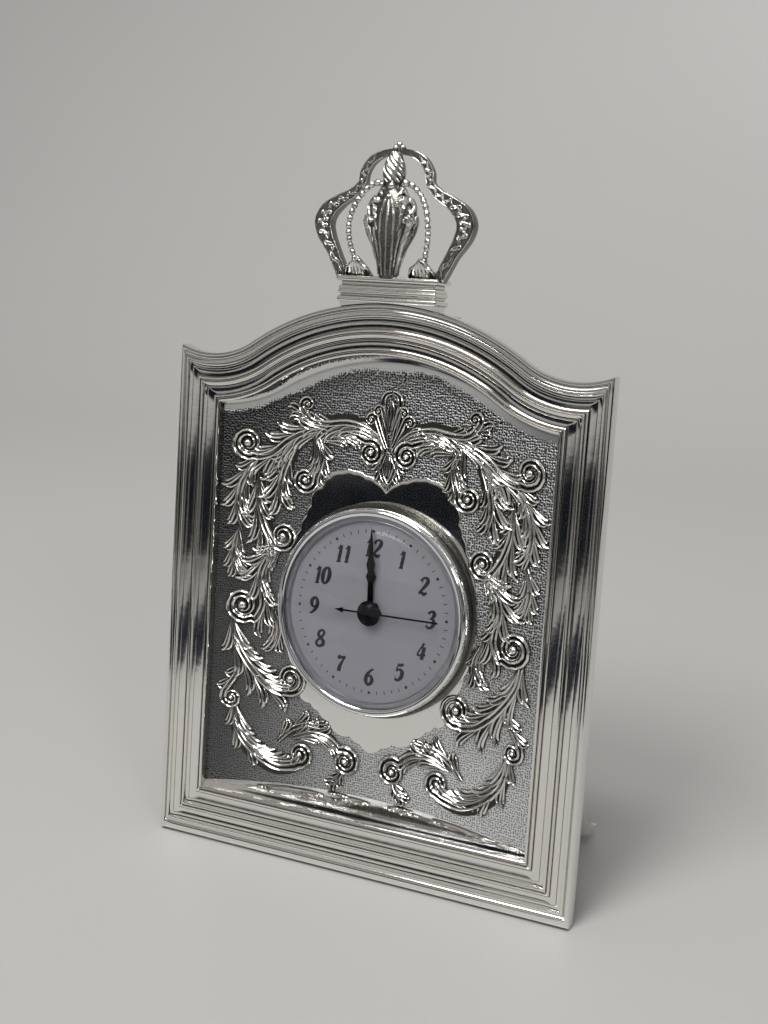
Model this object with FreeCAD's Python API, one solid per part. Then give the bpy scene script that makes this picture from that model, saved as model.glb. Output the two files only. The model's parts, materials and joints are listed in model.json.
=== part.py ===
import FreeCAD, Part
import math
import os

os.makedirs("parts", exist_ok=True)

# Standing photo frame clock. Millimetres.
# The frame is drawn upright: x to the right, y to the back, z up, with z = 0 at
# the rim's lower edge and y = 0 at the back of the rim. The finished pieces are
# then leaned back and moved so that the origin is the middle of the rest face.
# "Front" values (named ..._front or ..._level) count towards the viewer, so y = -front.

# How it stands
lean = 8.39
overrun = 20.0
hair = 0.05

# Rim and moulding: outline with a dipped shoulder each side of a round arch
half_width = 72.95
arch_top = 180.5
arch_radius = 83.3
dip_side_inset = 10.95
dip_x = half_width - dip_side_inset
dip_height = 161.6
rim_height = 4.9
rim_wall = 0.9
shell_top = 2.4

# Widths of the moulding's four bands, from the edge inwards
edge_side = 1.9
edge_bottom = 3.5
edge_top = 2.6
outer_cove_side = 5.9
outer_cove_bottom = 6.0
outer_cove_top = 6.4
inner_cove_side = 6.5
inner_cove_bottom = 6.9
inner_cove_top = 5.5
sight_bead = 1.1
side_band = [edge_side, outer_cove_side, inner_cove_side, sight_bead]
bottom_band = [edge_bottom, outer_cove_bottom, inner_cove_bottom, sight_bead]
top_band = [edge_top, outer_cove_top, inner_cove_top, sight_bead]

# Section of the moulding: band, share of that band's width, share of rim_height
profile_shares = [
    (0, 0.00, 0.00), (0, 0.00, 0.90), (0, 0.12, 0.98), (0, 0.30, 1.00), (0, 0.86, 1.00),
    (0, 0.90, 0.86), (0, 1.00, 0.86),
    (1, 0.02, 0.97), (1, 0.10, 1.00), (1, 0.20, 0.98), (1, 0.36, 0.87), (1, 0.52, 0.77),
    (1, 0.68, 0.71), (1, 0.82, 0.69), (1, 0.83, 0.99), (1, 0.96, 0.99), (1, 0.97, 0.86),
    (1, 1.00, 0.86),
    (2, 0.02, 0.97), (2, 0.09, 1.00), (2, 0.18, 0.98), (2, 0.34, 0.85), (2, 0.50, 0.74),
    (2, 0.66, 0.67), (2, 0.81, 0.65), (2, 0.82, 0.99), (2, 0.95, 0.99), (2, 0.96, 0.86),
    (2, 1.00, 0.86),
    (3, 0.10, 0.97), (3, 0.45, 1.00), (3, 1.00, 0.94),
]

# Opening inside the moulding: how far its walls slope in on their way down
opening_depth = 11.0
side_slope = 0.4
top_slope = 2.6
bottom_slope = 6.7
skirt_depth = 5.2
skirt_inset = 13.4

# Concave plaque
plaque_recess = 4.0
plaque_rise = 6.0
plaque_span = 57.35
plaque_thickness = 0.8

# Wooden core, clock board and back board
core_depth = 16.0
core_side_inset = 7.0
core_top_inset = 1.2
# Beside the crown the core stands further in, so that it stays hidden behind the rim
core_slope_inset = 4.4
core_wall = 5.8
board_fit = 0.2
back_board_thickness = 2.5
back_board_margin = 1.0
access_radius = 27.0
back_screw_head = 2.6
back_screw_shank = 1.1
back_screw_length = 9.0
back_screw_head_height = 1.0

# Where the clock insert goes
clock_height = 84.76
insert_turn = 2.1
bore_radius = 30.8
collar_width = 3.5
collar_outer = bore_radius + collar_width
collar_height = 2.6
collar_bore_gap = 0.15

# Bezel, crystal and case of the insert
bezel_overlap = 2.2
bezel_radius = bore_radius + bezel_overlap
bezel_height = 5.3
bezel_round = 1.1
bezel_lip_width = 2.4
bezel_lip_thickness = 0.45
bezel_wall = 1.35
crystal_rise = 3.0
crystal_thickness = 0.8
gasket_width = 0.3
case_gap = 0.7
case_wall = 1.1
case_depth = 9.6
case_ring_height = 3.5
dial_recess = 2.7
dial_thickness = 0.4
dial_margin = 1.8
dial_radius = bore_radius - dial_margin
seat_plate = 0.8
grip_width = 5.0
grip_offset = 2.6

# Hands
hub_radius = 4.0
hub_rise = 1.8
hour_hand_length = 18.5
minute_hand_length = 26.4
seconds_hand_length = 23.5
seconds_tail = 12.0
seconds_angle = 91.3
hand_thickness = 0.2
hour_hand_lift = 0.9
hand_step = 0.5
hour_eye = 2.6
minute_eye = 2.2
seconds_eye = 1.5
seconds_half_width = 0.28
tail_half_width = 0.85
hour_hand_half_width = 1.75
minute_hand_half_width = 1.45

# Outlines of the two broad hands: share of the length, share of the half width
hour_hand_shares = [(0.06, 0.54), (0.50, 0.43), (0.56, 0.77), (0.62, 1.00), (0.69, 0.71),
                    (0.76, 0.40), (0.86, 0.54), (0.94, 0.34), (1.00, 0.07)]
minute_hand_shares = [(0.04, 0.60), (0.46, 0.46), (0.53, 0.82), (0.58, 1.00), (0.64, 0.72),
                      (0.70, 0.46), (0.79, 0.50), (0.89, 0.29), (1.00, 0.08)]

# Movement housing
housing_half = 18.9
housing_wall = 1.2
housing_corner = 2.5
plate_thickness = 1.2
middle_plate_level = 4.6
middle_plate_thickness = 0.6
middle_plate_low = -5.6
housing_depth = 9.7
cover_floor = 1.0
pillar_radius = 1.2
bush_radius = 2.6
nut_radius = 3.6
nut_height = 0.7
movement_screw_radius = 0.7
movement_screw_head = 1.3
movement_screw_sink = 0.8
movement_screw_place = 15.6
screw_boss = 1.75

# Wheel train: teeth, modules and levels behind the dial seat
wheel_thickness = 0.5
pinion_length = 0.9
arbor_radius = 0.35
motion_arbor_radius = 0.3
pivot_gap = 0.05
pivot_depth = 0.5
hour_tube_radius = 1.6
minute_tube_radius = 1.2
seconds_arbor_radius = 0.5
tube_gap = 0.05
train_pinion_teeth = 8
seconds_wheel_teeth = 48
third_wheel_teeth = 60
centre_wheel_teeth = 64
intermediate_wheel_teeth = 40
cannon_teeth = 12
minute_wheel_teeth = 36
minute_pinion_teeth = 10
hour_wheel_teeth = 40
setting_teeth = 12
third_mesh_module = 0.18
cannon_module = 0.25
rotor_module = 0.2
pressure_angle = 20.0
addendum_share = 0.8
dedendum_share = 1.15
tooth_share = 0.40
hour_wheel_level = 1.5
minute_wheel_level = 2.5
centre_wheel_level = 3.6
third_wheel_level = 5.6
seconds_wheel_level = 6.6
intermediate_wheel_level = 7.6
third_direction = 40.0
motion_direction = 120.0
intermediate_direction = 200.0

# Electrics
magnet_radius = 1.6
magnet_length = 1.6
stator_gap = 0.3
stator_thickness = 0.8
stator_left = -15.4
stator_right = -6.8
stator_top = -0.8
stator_bottom = -14.2
stator_arm = 1.6
stator_yoke = 6.0
bobbin_flange_radius = 2.1
bobbin_flange = 0.4
bobbin_tube = 0.35
winding_radius = 1.9
pcb_left = 8.2
pcb_right = 15.2
pcb_bottom = -4.5
pcb_top = 10.5
pcb_thickness = 0.6
pcb_level = 7.6
can_radius = 1.0
can_length = 6.0
battery_radius = 5.8
battery_height = 5.4
battery_drop = 11.6
battery_gap = 0.25
contact_thickness = 0.25
contact_width = 3.0
hatch_margin = 0.6
hatch_thickness = 0.8

# Setting knob
setting_shaft_radius = 0.8
knob_radius = 3.2
knob_height = 2.4
knob_gap = 0.35
knob_ridges = 24
knob_ridge_depth = 0.3

# Crown
plinth_half_width = 15.75
plinth_half_depth = 4.1
plinth_centre_front = 0.9
plinth_height = 8.0
# Slabs of the plinth: share of its height for bottom and top, growth all round
plinth_slabs = [(0.00, 0.22, 0.9), (0.20, 0.34, 0.1), (0.32, 0.48, 0.7), (0.46, 0.62, 0.5),
                (0.60, 0.80, 0.0), (0.78, 1.00, 1.3)]
slab_round_share = 0.42
crown_half_width = 26.8
crown_rise = 37.8
crown_front = 2.5
arch_limb_width = 5.8
arch_limb_depth = 4.4
# Side arch stations as shares: of crown_half_width, of crown_rise, of the limb's width and depth
side_arch_shares = [
    (0.600, -0.01, 0.60, 0.85), (0.745, 0.19, 0.62, 0.90), (0.850, 0.32, 0.86, 1.00),
    (0.885, 0.42, 1.00, 1.00), (0.830, 0.51, 0.92, 1.00), (0.690, 0.59, 0.66, 0.90),
    (0.540, 0.65, 0.50, 0.80), (0.425, 0.73, 0.42, 0.70), (0.400, 0.82, 0.46, 0.66),
    (0.320, 0.91, 0.44, 0.60), (0.180, 0.965, 0.34, 0.50), (0.020, 0.985, 0.30, 0.44),
]
bead_radius = 0.98
bead_count = 14
# One bead: shares of the bead pitch and of bead_radius
bead_shares = [(0.0, 0.55), (0.14, 0.82), (0.36, 0.98), (0.64, 0.98), (0.86, 0.82)]
beaded_bulge = 4.6
# Beaded arch stations: shares of crown_half_width, of crown_rise and of the forward bulge
beaded_arch_shares = [
    (0.400, 0.03, 0.20), (0.450, 0.17, 0.60), (0.490, 0.32, 0.92), (0.480, 0.44, 1.00),
    (0.430, 0.56, 0.90), (0.350, 0.65, 0.80), (0.255, 0.71, 0.78), (0.140, 0.735, 0.82),
]
first_bead_share = 0.1
palmette_half_width = 4.6
palmette_height = 5.4
palmette_half_depth = 1.6
# Palmette under each beaded arch: shares of its height, half width, half depth, and of the bulge
palmette_shares = [(0.00, 1.00, 1.0, 0.00), (0.35, 0.86, 1.0, 0.25), (0.75, 0.50, 0.8, 0.50),
                   (1.05, 0.16, 0.5, 0.65)]
leaf_half_width = 8.7
leaf_half_depth = 3.3
leaf_front = 4.9
# Central leaf and bud: share of crown_rise, share of leaf_half_width, share of leaf_half_depth
leaf_shares = [
    (-0.01, 0.34, 0.62), (0.08, 0.38, 0.66), (0.18, 0.56, 0.80), (0.30, 0.86, 0.96),
    (0.42, 1.00, 1.00), (0.53, 0.88, 0.94), (0.62, 0.60, 0.80), (0.70, 0.34, 0.62),
    (0.745, 0.38, 0.60), (0.82, 0.40, 0.58), (0.90, 0.30, 0.48), (0.965, 0.16, 0.30),
]
finial_bead = 0.95
finial_spread = 1.15
finial_top_bead = 1.43
finial_side_bead = 0.48
crown_screw_radius = 1.5
crown_screw_length = 13.0
crown_screw_engage = 5.0

# Scroll feet behind the frame, in row height and reach behind the rim's lower edge
foot_side_inset = 13.95
foot_x = half_width - foot_side_inset
foot_half_thickness = 2.6
foot_limb = 6.4
foot_reach = 57.6
foot_rise = 44.0
# Foot stations: share of foot_reach, share of foot_rise, share of foot_limb
foot_shares = [
    (0.37, 0.98, 0.90), (0.46, 1.01, 0.86), (0.58, 0.90, 0.84), (0.68, 0.68, 0.84),
    (0.745, 0.44, 0.86), (0.81, 0.225, 0.96), (0.885, 0.105, 1.00), (0.955, 0.075, 0.62),
    (0.995, 0.075, 0.22),
]
foot_plate_half_width = 4.2
foot_plate_low = 31.0
foot_plate_high = 55.0
foot_plate_thickness = 2.2
foot_screw_head = 2.0
foot_screw_shank = 0.9
foot_screw_length = 10.0
foot_screw_head_height = 0.9
foot_screw_margin = 4.0

# Places worked out from the sizes above
lean_rad = math.radians(lean)
plaque_radius = (plaque_span ** 2 + plaque_rise ** 2) / (2 * plaque_rise)
seat_level = collar_height - plaque_recess
bezel_front = seat_level + bezel_height
dial_front = bezel_front - dial_recess
case_front = dial_front - dial_thickness - seat_plate
case_ring_top = seat_level + case_ring_height
case_radius = bore_radius - case_gap
origin_back = core_depth / (2 * math.cos(lean_rad))
arch_centre = arch_top - arch_radius
# The shoulder's round meets the arch without a corner
dip_drop = dip_height - arch_centre
dip_radius = (dip_x ** 2 + dip_drop ** 2 - arch_radius ** 2) / (2 * (arch_radius - dip_drop))
dip_centre = dip_height + dip_radius
plinth_bottom = arch_top
plinth_top = plinth_bottom + plinth_height
crown_screw_front = plinth_centre_front - plinth_half_depth / 2
foot_seat = -core_depth - back_board_thickness
core_inner_side = skirt_inset + core_wall
core_inner_bottom = sum(bottom_band) + bottom_slope + board_fit
core_inner_top = sum(top_band) + top_slope + board_fit

nodes = {}


def point(x, front, z):
    return FreeCAD.Vector(x, -front, z)


def to_row(shape):
    # Leans an upright piece back and moves it to the row's origin
    placed = shape.copy()
    placed.rotate(FreeCAD.Vector(0, 0, 0), FreeCAD.Vector(1, 0, 0), -lean)
    placed.translate(FreeCAD.Vector(0, -origin_back, 0))
    return placed


def to_frame(shape):
    # Takes a piece drawn round the clock's own axis to its place in the frame
    placed = shape.copy()
    placed.rotate(FreeCAD.Vector(0, 0, 0), FreeCAD.Vector(0, 1, 0), -insert_turn)
    placed.translate(FreeCAD.Vector(0, 0, clock_height))
    return placed


def keep(name, shape):
    nodes[name] = shape


def keep_insert(name, shape):
    nodes[name] = to_row(to_frame(shape))


def arc_edge(centre_x, centre_z, radius, start, end, front):
    # Round edge in a plane of constant depth, angles in radians from +x towards +z
    middle = (start + end) / 2
    spots = [point(centre_x + radius * math.cos(a), front, centre_z + radius * math.sin(a))
             for a in (start, middle, end)]
    return Part.Arc(*spots).toShape()


def outline(side, bottom, top, front):
    # The frame's outline, moved in by a distance of its own at the sides, bottom and top
    edge_x = half_width - side
    round_radius = arch_radius - top
    dip = dip_radius + top
    slope = math.atan2(dip_centre - arch_centre, dip_x)
    corner = math.asin((edge_x - dip_x) / dip)
    corner_z = dip_centre - dip * math.cos(corner)
    flat = math.pi / 2
    return Part.Wire([
        Part.LineSegment(point(-edge_x, front, bottom), point(edge_x, front, bottom)).toShape(),
        Part.LineSegment(point(edge_x, front, bottom), point(edge_x, front, corner_z)).toShape(),
        arc_edge(dip_x, dip_centre, dip, corner - flat, slope - math.pi, front),
        arc_edge(0, arch_centre, round_radius, slope, math.pi - slope, front),
        arc_edge(-dip_x, dip_centre, dip, -slope, -flat - corner, front),
        Part.LineSegment(point(-edge_x, front, corner_z), point(-edge_x, front, bottom)).toShape(),
    ])


def outline_block(side, bottom, top, back, front):
    # The same outline as a solid between two depths
    face = Part.Face(outline(side, bottom, top, back))
    return face.extrude(FreeCAD.Vector(0, back - front, 0))


def opening_cutter(growth, deepest):
    # Tapered hole inside the moulding, with its walls moved in by growth
    reach = rim_height + deepest
    share = reach / opening_depth
    inner = [sum(side_band) + growth, sum(bottom_band) + growth, sum(top_band) + growth]
    low = outline(inner[0] + share * side_slope, inner[1] + share * bottom_slope,
                  inner[2] + share * top_slope, -deepest)
    high = outline(*inner, rim_height)
    over = hair * 2
    above = outline(inner[0] - over, inner[1] - over, inner[2] - over, rim_height + over)
    return Part.makeLoft([low, high, above], True, True)


def bar(radius, back, front, x=0, z=0):
    # Cylinder along the depth direction
    return Part.makeCylinder(radius, front - back, point(x, back, z), FreeCAD.Vector(0, -1, 0))


def ring(outer, inner, back, front, x=0, z=0):
    return bar(outer, back, front, x, z).cut(bar(inner, back - overrun, front + overrun, x, z))


def block(left, right, bottom, top, back, front):
    return Part.makeBox(right - left, front - back, top - bottom,
                        FreeCAD.Vector(left, -front, bottom))


def turned(corners):
    # Solid of revolution about the depth axis from a closed list of radius and front value
    spots = [point(radius, front, 0) for radius, front in corners]
    face = Part.Face(Part.makePolygon(spots + spots[:1]))
    return face.revolve(FreeCAD.Vector(0, 0, 0), FreeCAD.Vector(0, 1, 0), 360)


def round_corner(radius, front, size, steps=5):
    # Quarter round from the outer wall to the front face, as points for a turned piece
    spots = []
    for step in range(steps + 1):
        angle = math.pi / 2 * step / steps
        spots.append((radius - size + size * math.cos(angle), front - size + size * math.sin(angle)))
    return spots


def limb(stations, depth_way=(0, 1, 0), ruled=False):
    # Organic bar through elliptical sections: centre, half width across, half depth
    sections = []
    for index, (centre, half_across, half_depth) in enumerate(stations):
        before = stations[max(index - 1, 0)][0]
        after = stations[min(index + 1, len(stations) - 1)][0]
        along = (after - before).normalize()
        across = along.cross(FreeCAD.Vector(*depth_way)).normalize()
        depth_axis = across.cross(along).normalize()
        major, minor, first = half_across, half_depth, across
        if half_depth > half_across:
            major, minor, first = half_depth, half_across, depth_axis
        second = along.cross(first)
        if major - minor < hair / 10:
            curve = Part.Circle(centre, along, major)
        else:
            curve = Part.Ellipse(centre + first * major, centre + second * minor, centre)
        sections.append(Part.Wire(curve.toShape()))
    return Part.makeLoft(sections, True, ruled)


def gear(teeth, module, phase, back, front):
    # Involute spur wheel; phase is the angle in degrees of one tooth's middle
    pitch = teeth * module / 2
    base = pitch * math.cos(math.radians(pressure_angle))
    root = pitch - dedendum_share * module
    tip = pitch + addendum_share * module

    def involute(radius):
        pressure = math.acos(min(1.0, base / max(radius, base)))
        return math.tan(pressure) - pressure

    half_tooth = tooth_share * math.pi / teeth
    radii = [root, max(root, base), (max(root, base) + pitch) / 2, pitch, (pitch + tip) / 2, tip]
    flank = [(radius, half_tooth + involute(pitch) - involute(radius)) for radius in radii]
    spots = []
    for tooth in range(teeth):
        middle = math.radians(phase) + 2 * math.pi * tooth / teeth
        for radius, half in flank:
            spots.append(point(radius * math.cos(middle - half), back, radius * math.sin(middle - half)))
        for radius, half in reversed(flank):
            spots.append(point(radius * math.cos(middle + half), back, radius * math.sin(middle + half)))
    clean = [spots[0]]
    for spot in spots[1:]:
        if spot.distanceToPoint(clean[-1]) > hair / 1000:
            clean.append(spot)
    face = Part.Face(Part.makePolygon(clean + clean[:1]))
    return face.extrude(FreeCAD.Vector(0, back - front, 0))


def meshed_phase(driver_phase, driver_teeth, driven_teeth, direction):
    # Phase of a wheel that lies in that direction from its driver and is in mesh with it
    pitch = 360 / driver_teeth
    behind = (direction - driver_phase) % pitch
    return direction + 180 + behind * driver_teeth / driven_teeth + 180 / driven_teeth


def polar(distance, direction):
    angle = math.radians(direction)
    return distance * math.cos(angle), distance * math.sin(angle)


def moved(shape, place):
    copy = shape.copy()
    copy.translate(FreeCAD.Vector(place[0], 0, place[1]))
    return copy


def fused(first, *others):
    return first.fuse(list(others)).removeSplitter()


def screw(head_radius, head_height, shank_radius, length, slot_width):
    # Slotted round-head screw along the depth axis: its shank points to the front
    head = bar(head_radius, -head_height, 0)
    head = head.makeFillet(head_height * slab_round_share, [head.Edges[2]])
    shank = bar(shank_radius, 0, length)
    slot = block(-slot_width / 2, slot_width / 2, -2 * head_radius, 2 * head_radius,
                 -head_height - overrun, -head_height / 2)
    return fused(head, shank).cut(slot)


def plaque_body(radius_growth):
    # Everything in front of the plaque's curved sheet, grown outwards
    radius = plaque_radius + radius_growth
    return Part.makeCylinder(radius, arch_top + 2 * overrun,
                             FreeCAD.Vector(0, plaque_recess - plaque_radius, -overrun))


def frame_moulding():
    wires = []
    for band, share, height in profile_shares:
        insets = [sum(widths[:band]) + share * widths[band]
                  for widths in (side_band, bottom_band, top_band)]
        wires.append(outline(*insets, height * rim_height))
    plate = Part.makeLoft(wires, True, True)
    skirt = outline_block(skirt_inset, sum(bottom_band[:3]), sum(top_band[:3]) - rim_wall,
                          -skirt_depth, hair)
    body = plate.fuse(skirt)
    cavity = outline_block(rim_wall, rim_wall, rim_wall, -hair, shell_top)
    core = outline_block(skirt_inset - rim_wall, sum(bottom_band[:3]) - rim_wall,
                         sum(top_band[:3]) - 2 * rim_wall, -overrun, overrun)
    body = body.cut(cavity.cut(core))
    return body.cut(opening_cutter(0, skirt_depth + overrun))


def embossed_plaque():
    sheet = plaque_body(plaque_thickness).common(opening_cutter(hair, plaque_recess + overrun))
    sheet = sheet.cut(plaque_body(0))
    return sheet.cut(bar(bore_radius + collar_bore_gap, -overrun, overrun, 0, clock_height))


def seat_collar():
    body = ring(collar_outer, bore_radius + collar_bore_gap, -plaque_recess - overrun, seat_level)
    return to_frame(body).common(plaque_body(0))


def core_frame():
    body = outline_block(core_side_inset, 0, core_slope_inset, -core_depth, 0)
    seat = outline_block(core_side_inset, 0, core_top_inset, -core_depth, 0)
    body = body.fuse(seat.common(block(-plinth_half_width, plinth_half_width, core_inner_side,
                                       arch_top, -core_depth, 0))).removeSplitter()
    tongue = outline_block(rim_wall + board_fit, rim_wall + board_fit, rim_wall + board_fit,
                           0, shell_top - board_fit)
    body = body.fuse(tongue)
    body = body.cut(outline_block(skirt_inset - rim_wall - board_fit,
                                  sum(bottom_band[:3]) - rim_wall - board_fit,
                                  sum(top_band[:3]) - 2 * rim_wall - board_fit,
                                  -skirt_depth, overrun))
    hole = outline_block(core_inner_side, core_inner_bottom, core_inner_top,
                         -core_depth - overrun, overrun)
    return body.cut(hole)


def clock_board():
    front_part = opening_cutter(hair, skirt_depth).common(
        outline_block(0, 0, 0, -skirt_depth, rim_height))
    back_part = outline_block(core_inner_side + board_fit, core_inner_bottom + board_fit,
                              core_inner_top + board_fit, -core_depth, -skirt_depth)
    body = front_part.fuse(back_part).cut(plaque_body(plaque_thickness))
    return body.cut(bar(bore_radius, -core_depth - overrun, overrun, 0, clock_height))


def back_screw_places():
    # Along the middle of the core frame's rails
    x = half_width - (core_side_inset + core_inner_side) / 2
    low = core_inner_bottom / 2
    shoulder = clock_height + collar_outer
    places = [(sign * x, z) for sign in (-1, 1) for z in (low, shoulder)]
    places.append((0, low))
    places.append((0, arch_top - (core_top_inset + core_inner_top) / 2))
    return places


def back_board():
    body = outline_block(core_side_inset + back_board_margin, core_inner_bottom / 4,
                         core_slope_inset + back_board_margin,
                         -core_depth - back_board_thickness, -core_depth)
    body = body.cut(bar(access_radius, -core_depth - overrun, 0, 0, clock_height))
    for x, z in back_screw_places():
        body = body.cut(bar(back_screw_shank + hair, -core_depth - overrun, 0, x, z))
    for sign in (-1, 1):
        for x, z in foot_screw_places(sign):
            body = body.cut(bar(foot_screw_shank + hair, -core_depth - overrun, 0, x, z))
    return body


def back_board_screws():
    back = -core_depth - back_board_thickness
    single = screw(back_screw_head, back_screw_head_height, back_screw_shank, back_screw_length,
                   back_screw_shank / 2)
    single.translate(point(0, back, 0))
    return Part.makeCompound([moved(single, place) for place in back_screw_places()])


def slab(half_x, half_y, bottom, top, front):
    body = block(-half_x, half_x, bottom, top, front - half_y, front + half_y)
    return body.makeFillet((top - bottom) * slab_round_share, body.Edges)


def crown_base():
    body = None
    for low, high, growth in plinth_slabs:
        piece = slab(plinth_half_width + growth, plinth_half_depth + growth,
                     plinth_bottom + low * plinth_height, plinth_bottom + high * plinth_height,
                     plinth_centre_front)
        body = piece if body is None else body.fuse(piece)
    neck = block(-plinth_half_width, plinth_half_width, plinth_bottom - plinth_height / 2,
                 plinth_bottom + plinth_height / 2, plinth_centre_front - plinth_half_depth,
                 plinth_centre_front + plinth_half_depth)
    body = body.fuse(neck).cut(outline_block(0, 0, 0, -overrun, overrun))
    hole = Part.makeCylinder(crown_screw_radius, crown_screw_engage + overrun,
                             point(0, crown_screw_front, plinth_bottom - overrun))
    return body.removeSplitter().cut(hole)


def side_arch(sign):
    stations = []
    for x_share, z_share, width_share, depth_share in side_arch_shares:
        centre = point(sign * x_share * crown_half_width, crown_front,
                       plinth_top + z_share * crown_rise)
        stations.append((centre, width_share * arch_limb_width / 2,
                         depth_share * arch_limb_depth / 2))
    return limb(stations)


def beaded_line(sign):
    return [point(sign * x_share * crown_half_width, crown_front + bulge * beaded_bulge,
                  plinth_top + z_share * crown_rise)
            for x_share, z_share, bulge in beaded_arch_shares]


def beaded_arch(sign):
    line = beaded_line(sign)
    path = Part.BSplineCurve()
    path.interpolate(line)
    first = path.FirstParameter
    length = path.length(first, path.LastParameter)
    start = first_bead_share * length
    pitch = (length - start) / bead_count
    neck = bead_radius * bead_shares[0][1]
    stations = [(line[0], neck, neck)]
    for index in range(bead_count):
        for share, thick in bead_shares:
            spot = path.value(path.parameterAtDistance(start + (index + share) * pitch, first))
            stations.append((spot, bead_radius * thick, bead_radius * thick))
    stations.append((line[-1], neck, neck))
    body = limb(stations, ruled=True)
    foot = limb([(point(line[0].x, crown_front + spread * beaded_bulge,
                        plinth_top + rise * palmette_height),
                  palmette_half_width * width, palmette_half_depth * depth)
                 for rise, width, depth, spread in palmette_shares])
    return body.fuse(foot)


def crown_leaf():
    stations = [(point(0, leaf_front, plinth_top + rise * crown_rise),
                 width * leaf_half_width, depth * leaf_half_depth)
                for rise, width, depth in leaf_shares]
    return limb(stations)


def crown_finial():
    top = plinth_top + crown_rise
    body = Part.makeSphere(finial_bead, point(0, crown_front, top + finial_top_bead))
    for sign in (-1, 1):
        body = body.fuse(Part.makeSphere(
            finial_bead, point(sign * finial_spread, crown_front, top + finial_side_bead)))
    stem = Part.makeCylinder(finial_bead * 0.6, finial_bead + finial_top_bead,
                             point(0, crown_front, top - finial_bead))
    return body.fuse(stem)


def crown_screw():
    low = plinth_bottom + crown_screw_engage - crown_screw_length - hair
    return Part.makeCylinder(crown_screw_radius, crown_screw_length,
                             point(0, crown_screw_front, low))


def foot_stations(sign):
    return [(FreeCAD.Vector(sign * foot_x, y_share * foot_reach, z_share * foot_rise),
             limb_share * foot_limb / 2, foot_half_thickness)
            for y_share, z_share, limb_share in foot_shares]


def foot_screw_places(sign):
    return [(sign * foot_x, foot_plate_low + foot_screw_margin),
            (sign * foot_x, foot_plate_high - foot_screw_margin)]


def rear_foot(sign):
    # The limb is drawn standing on the table; its plate lies on the leaning back
    body = above_table(limb(foot_stations(sign), depth_way=(1, 0, 0)))
    body.translate(FreeCAD.Vector(0, -origin_back, 0))
    plate = block(sign * foot_x - foot_plate_half_width, sign * foot_x + foot_plate_half_width,
                  foot_plate_low, foot_plate_high, foot_seat - foot_plate_thickness, foot_seat)
    corners = [edge for edge in plate.Edges if edge.BoundBox.YLength > foot_plate_thickness / 2]
    plate = plate.makeFillet(foot_plate_half_width / 2, corners)
    in_front = block(-2 * half_width, 2 * half_width, -arch_top, 2 * arch_top,
                     foot_seat - hair, overrun * 2)
    body = body.cut(to_row(in_front)).fuse(to_row(plate))
    head_seat = foot_seat - foot_plate_thickness
    for x, z in foot_screw_places(sign):
        body = body.cut(to_row(bar(foot_screw_shank + hair, -2 * overrun, 0, x, z)))
        body = body.cut(to_row(bar(foot_screw_head + hair, head_seat - overrun, head_seat, x, z)))
    return body


def foot_screws():
    single = screw(foot_screw_head, foot_screw_head_height, foot_screw_shank, foot_screw_length,
                   foot_screw_shank / 2)
    single.translate(point(0, foot_seat - foot_plate_thickness, 0))
    return Part.makeCompound([moved(single, place) for sign in (-1, 1)
                              for place in foot_screw_places(sign)])


def drilled_core(body):
    # Pilot holes for the screws of the back board, the feet and the crown
    for x, z in back_screw_places():
        body = body.cut(bar(back_screw_shank, -core_depth - back_board_thickness - hair,
                            -core_depth - back_board_thickness + back_screw_length + hair, x, z))
    tip = foot_seat - foot_plate_thickness + foot_screw_length + hair
    for sign in (-1, 1):
        for x, z in foot_screw_places(sign):
            body = body.cut(bar(foot_screw_shank, -overrun * 2, tip, x, z))
    return body.cut(crown_screw())


def above_table(shape):
    under = Part.makeBox(4 * half_width, 4 * half_width, overrun,
                         FreeCAD.Vector(-2 * half_width, -2 * half_width, -overrun))
    return shape.cut(under)


def bezel():
    lip = bezel_front - bezel_lip_thickness
    inner_wall = bezel_radius - bezel_wall
    corners = [(inner_wall, seat_level), (bezel_radius, seat_level)]
    corners += round_corner(bezel_radius, bezel_front, bezel_round)
    corners += [(bezel_radius - bezel_lip_width + bezel_lip_thickness / 2, bezel_front),
                (bezel_radius - bezel_lip_width, lip), (inner_wall, lip)]
    return turned(corners)


def crystal_edge():
    return bezel_radius - bezel_wall - gasket_width - hair


def crystal():
    # A dome inside the bezel's lip with a flat flange under it
    lip = bezel_radius - bezel_lip_width - hair
    top = bezel_front - bezel_lip_thickness
    radius = (lip ** 2 + crystal_rise ** 2) / (2 * crystal_rise)
    dome = Part.makeSphere(radius, point(0, top + crystal_rise - radius, 0))
    hollow = Part.makeSphere(radius, point(0, top + crystal_rise - radius - crystal_thickness, 0))
    body = bar(lip, case_ring_top, top + crystal_rise + hair).common(dome)
    return body.fuse(bar(crystal_edge(), case_ring_top, top)).cut(hollow)


def crystal_gasket():
    edge = crystal_edge() + hair
    return ring(edge + gasket_width - hair, edge, case_ring_top, bezel_front - bezel_lip_thickness)


def clock_case():
    top_ring = ring(bezel_radius - bezel_wall - hair, dial_radius, seat_level, case_ring_top)
    wall = ring(case_radius, case_radius - case_wall, seat_level - case_depth, seat_level)
    seat = bar(case_radius, case_front, case_front + seat_plate).cut(
        bar(bush_radius + hair, -overrun, overrun))
    link = ring(case_radius, case_radius - case_wall, seat_level - hair, case_front + seat_plate)
    return fused(top_ring, wall, seat, link)


def dial():
    return ring(dial_radius - hair, bush_radius + hair, dial_front - dial_thickness, dial_front)


def grip_band():
    high = seat_level - grip_offset
    return ring(bore_radius - 2 * hair, case_radius + hair / 2, high - grip_width, high)


def dial_nut():
    body = ring(nut_radius, bush_radius + hair / 2, dial_front, dial_front + nut_height)
    sides = [point(nut_radius * math.cos(math.radians(60 * i)), dial_front - hair,
                   nut_radius * math.sin(math.radians(60 * i))) for i in range(7)]
    hexagon = Part.Face(Part.makePolygon(sides)).extrude(
        FreeCAD.Vector(0, -nut_height - 2 * hair, 0))
    return body.common(hexagon)


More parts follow.
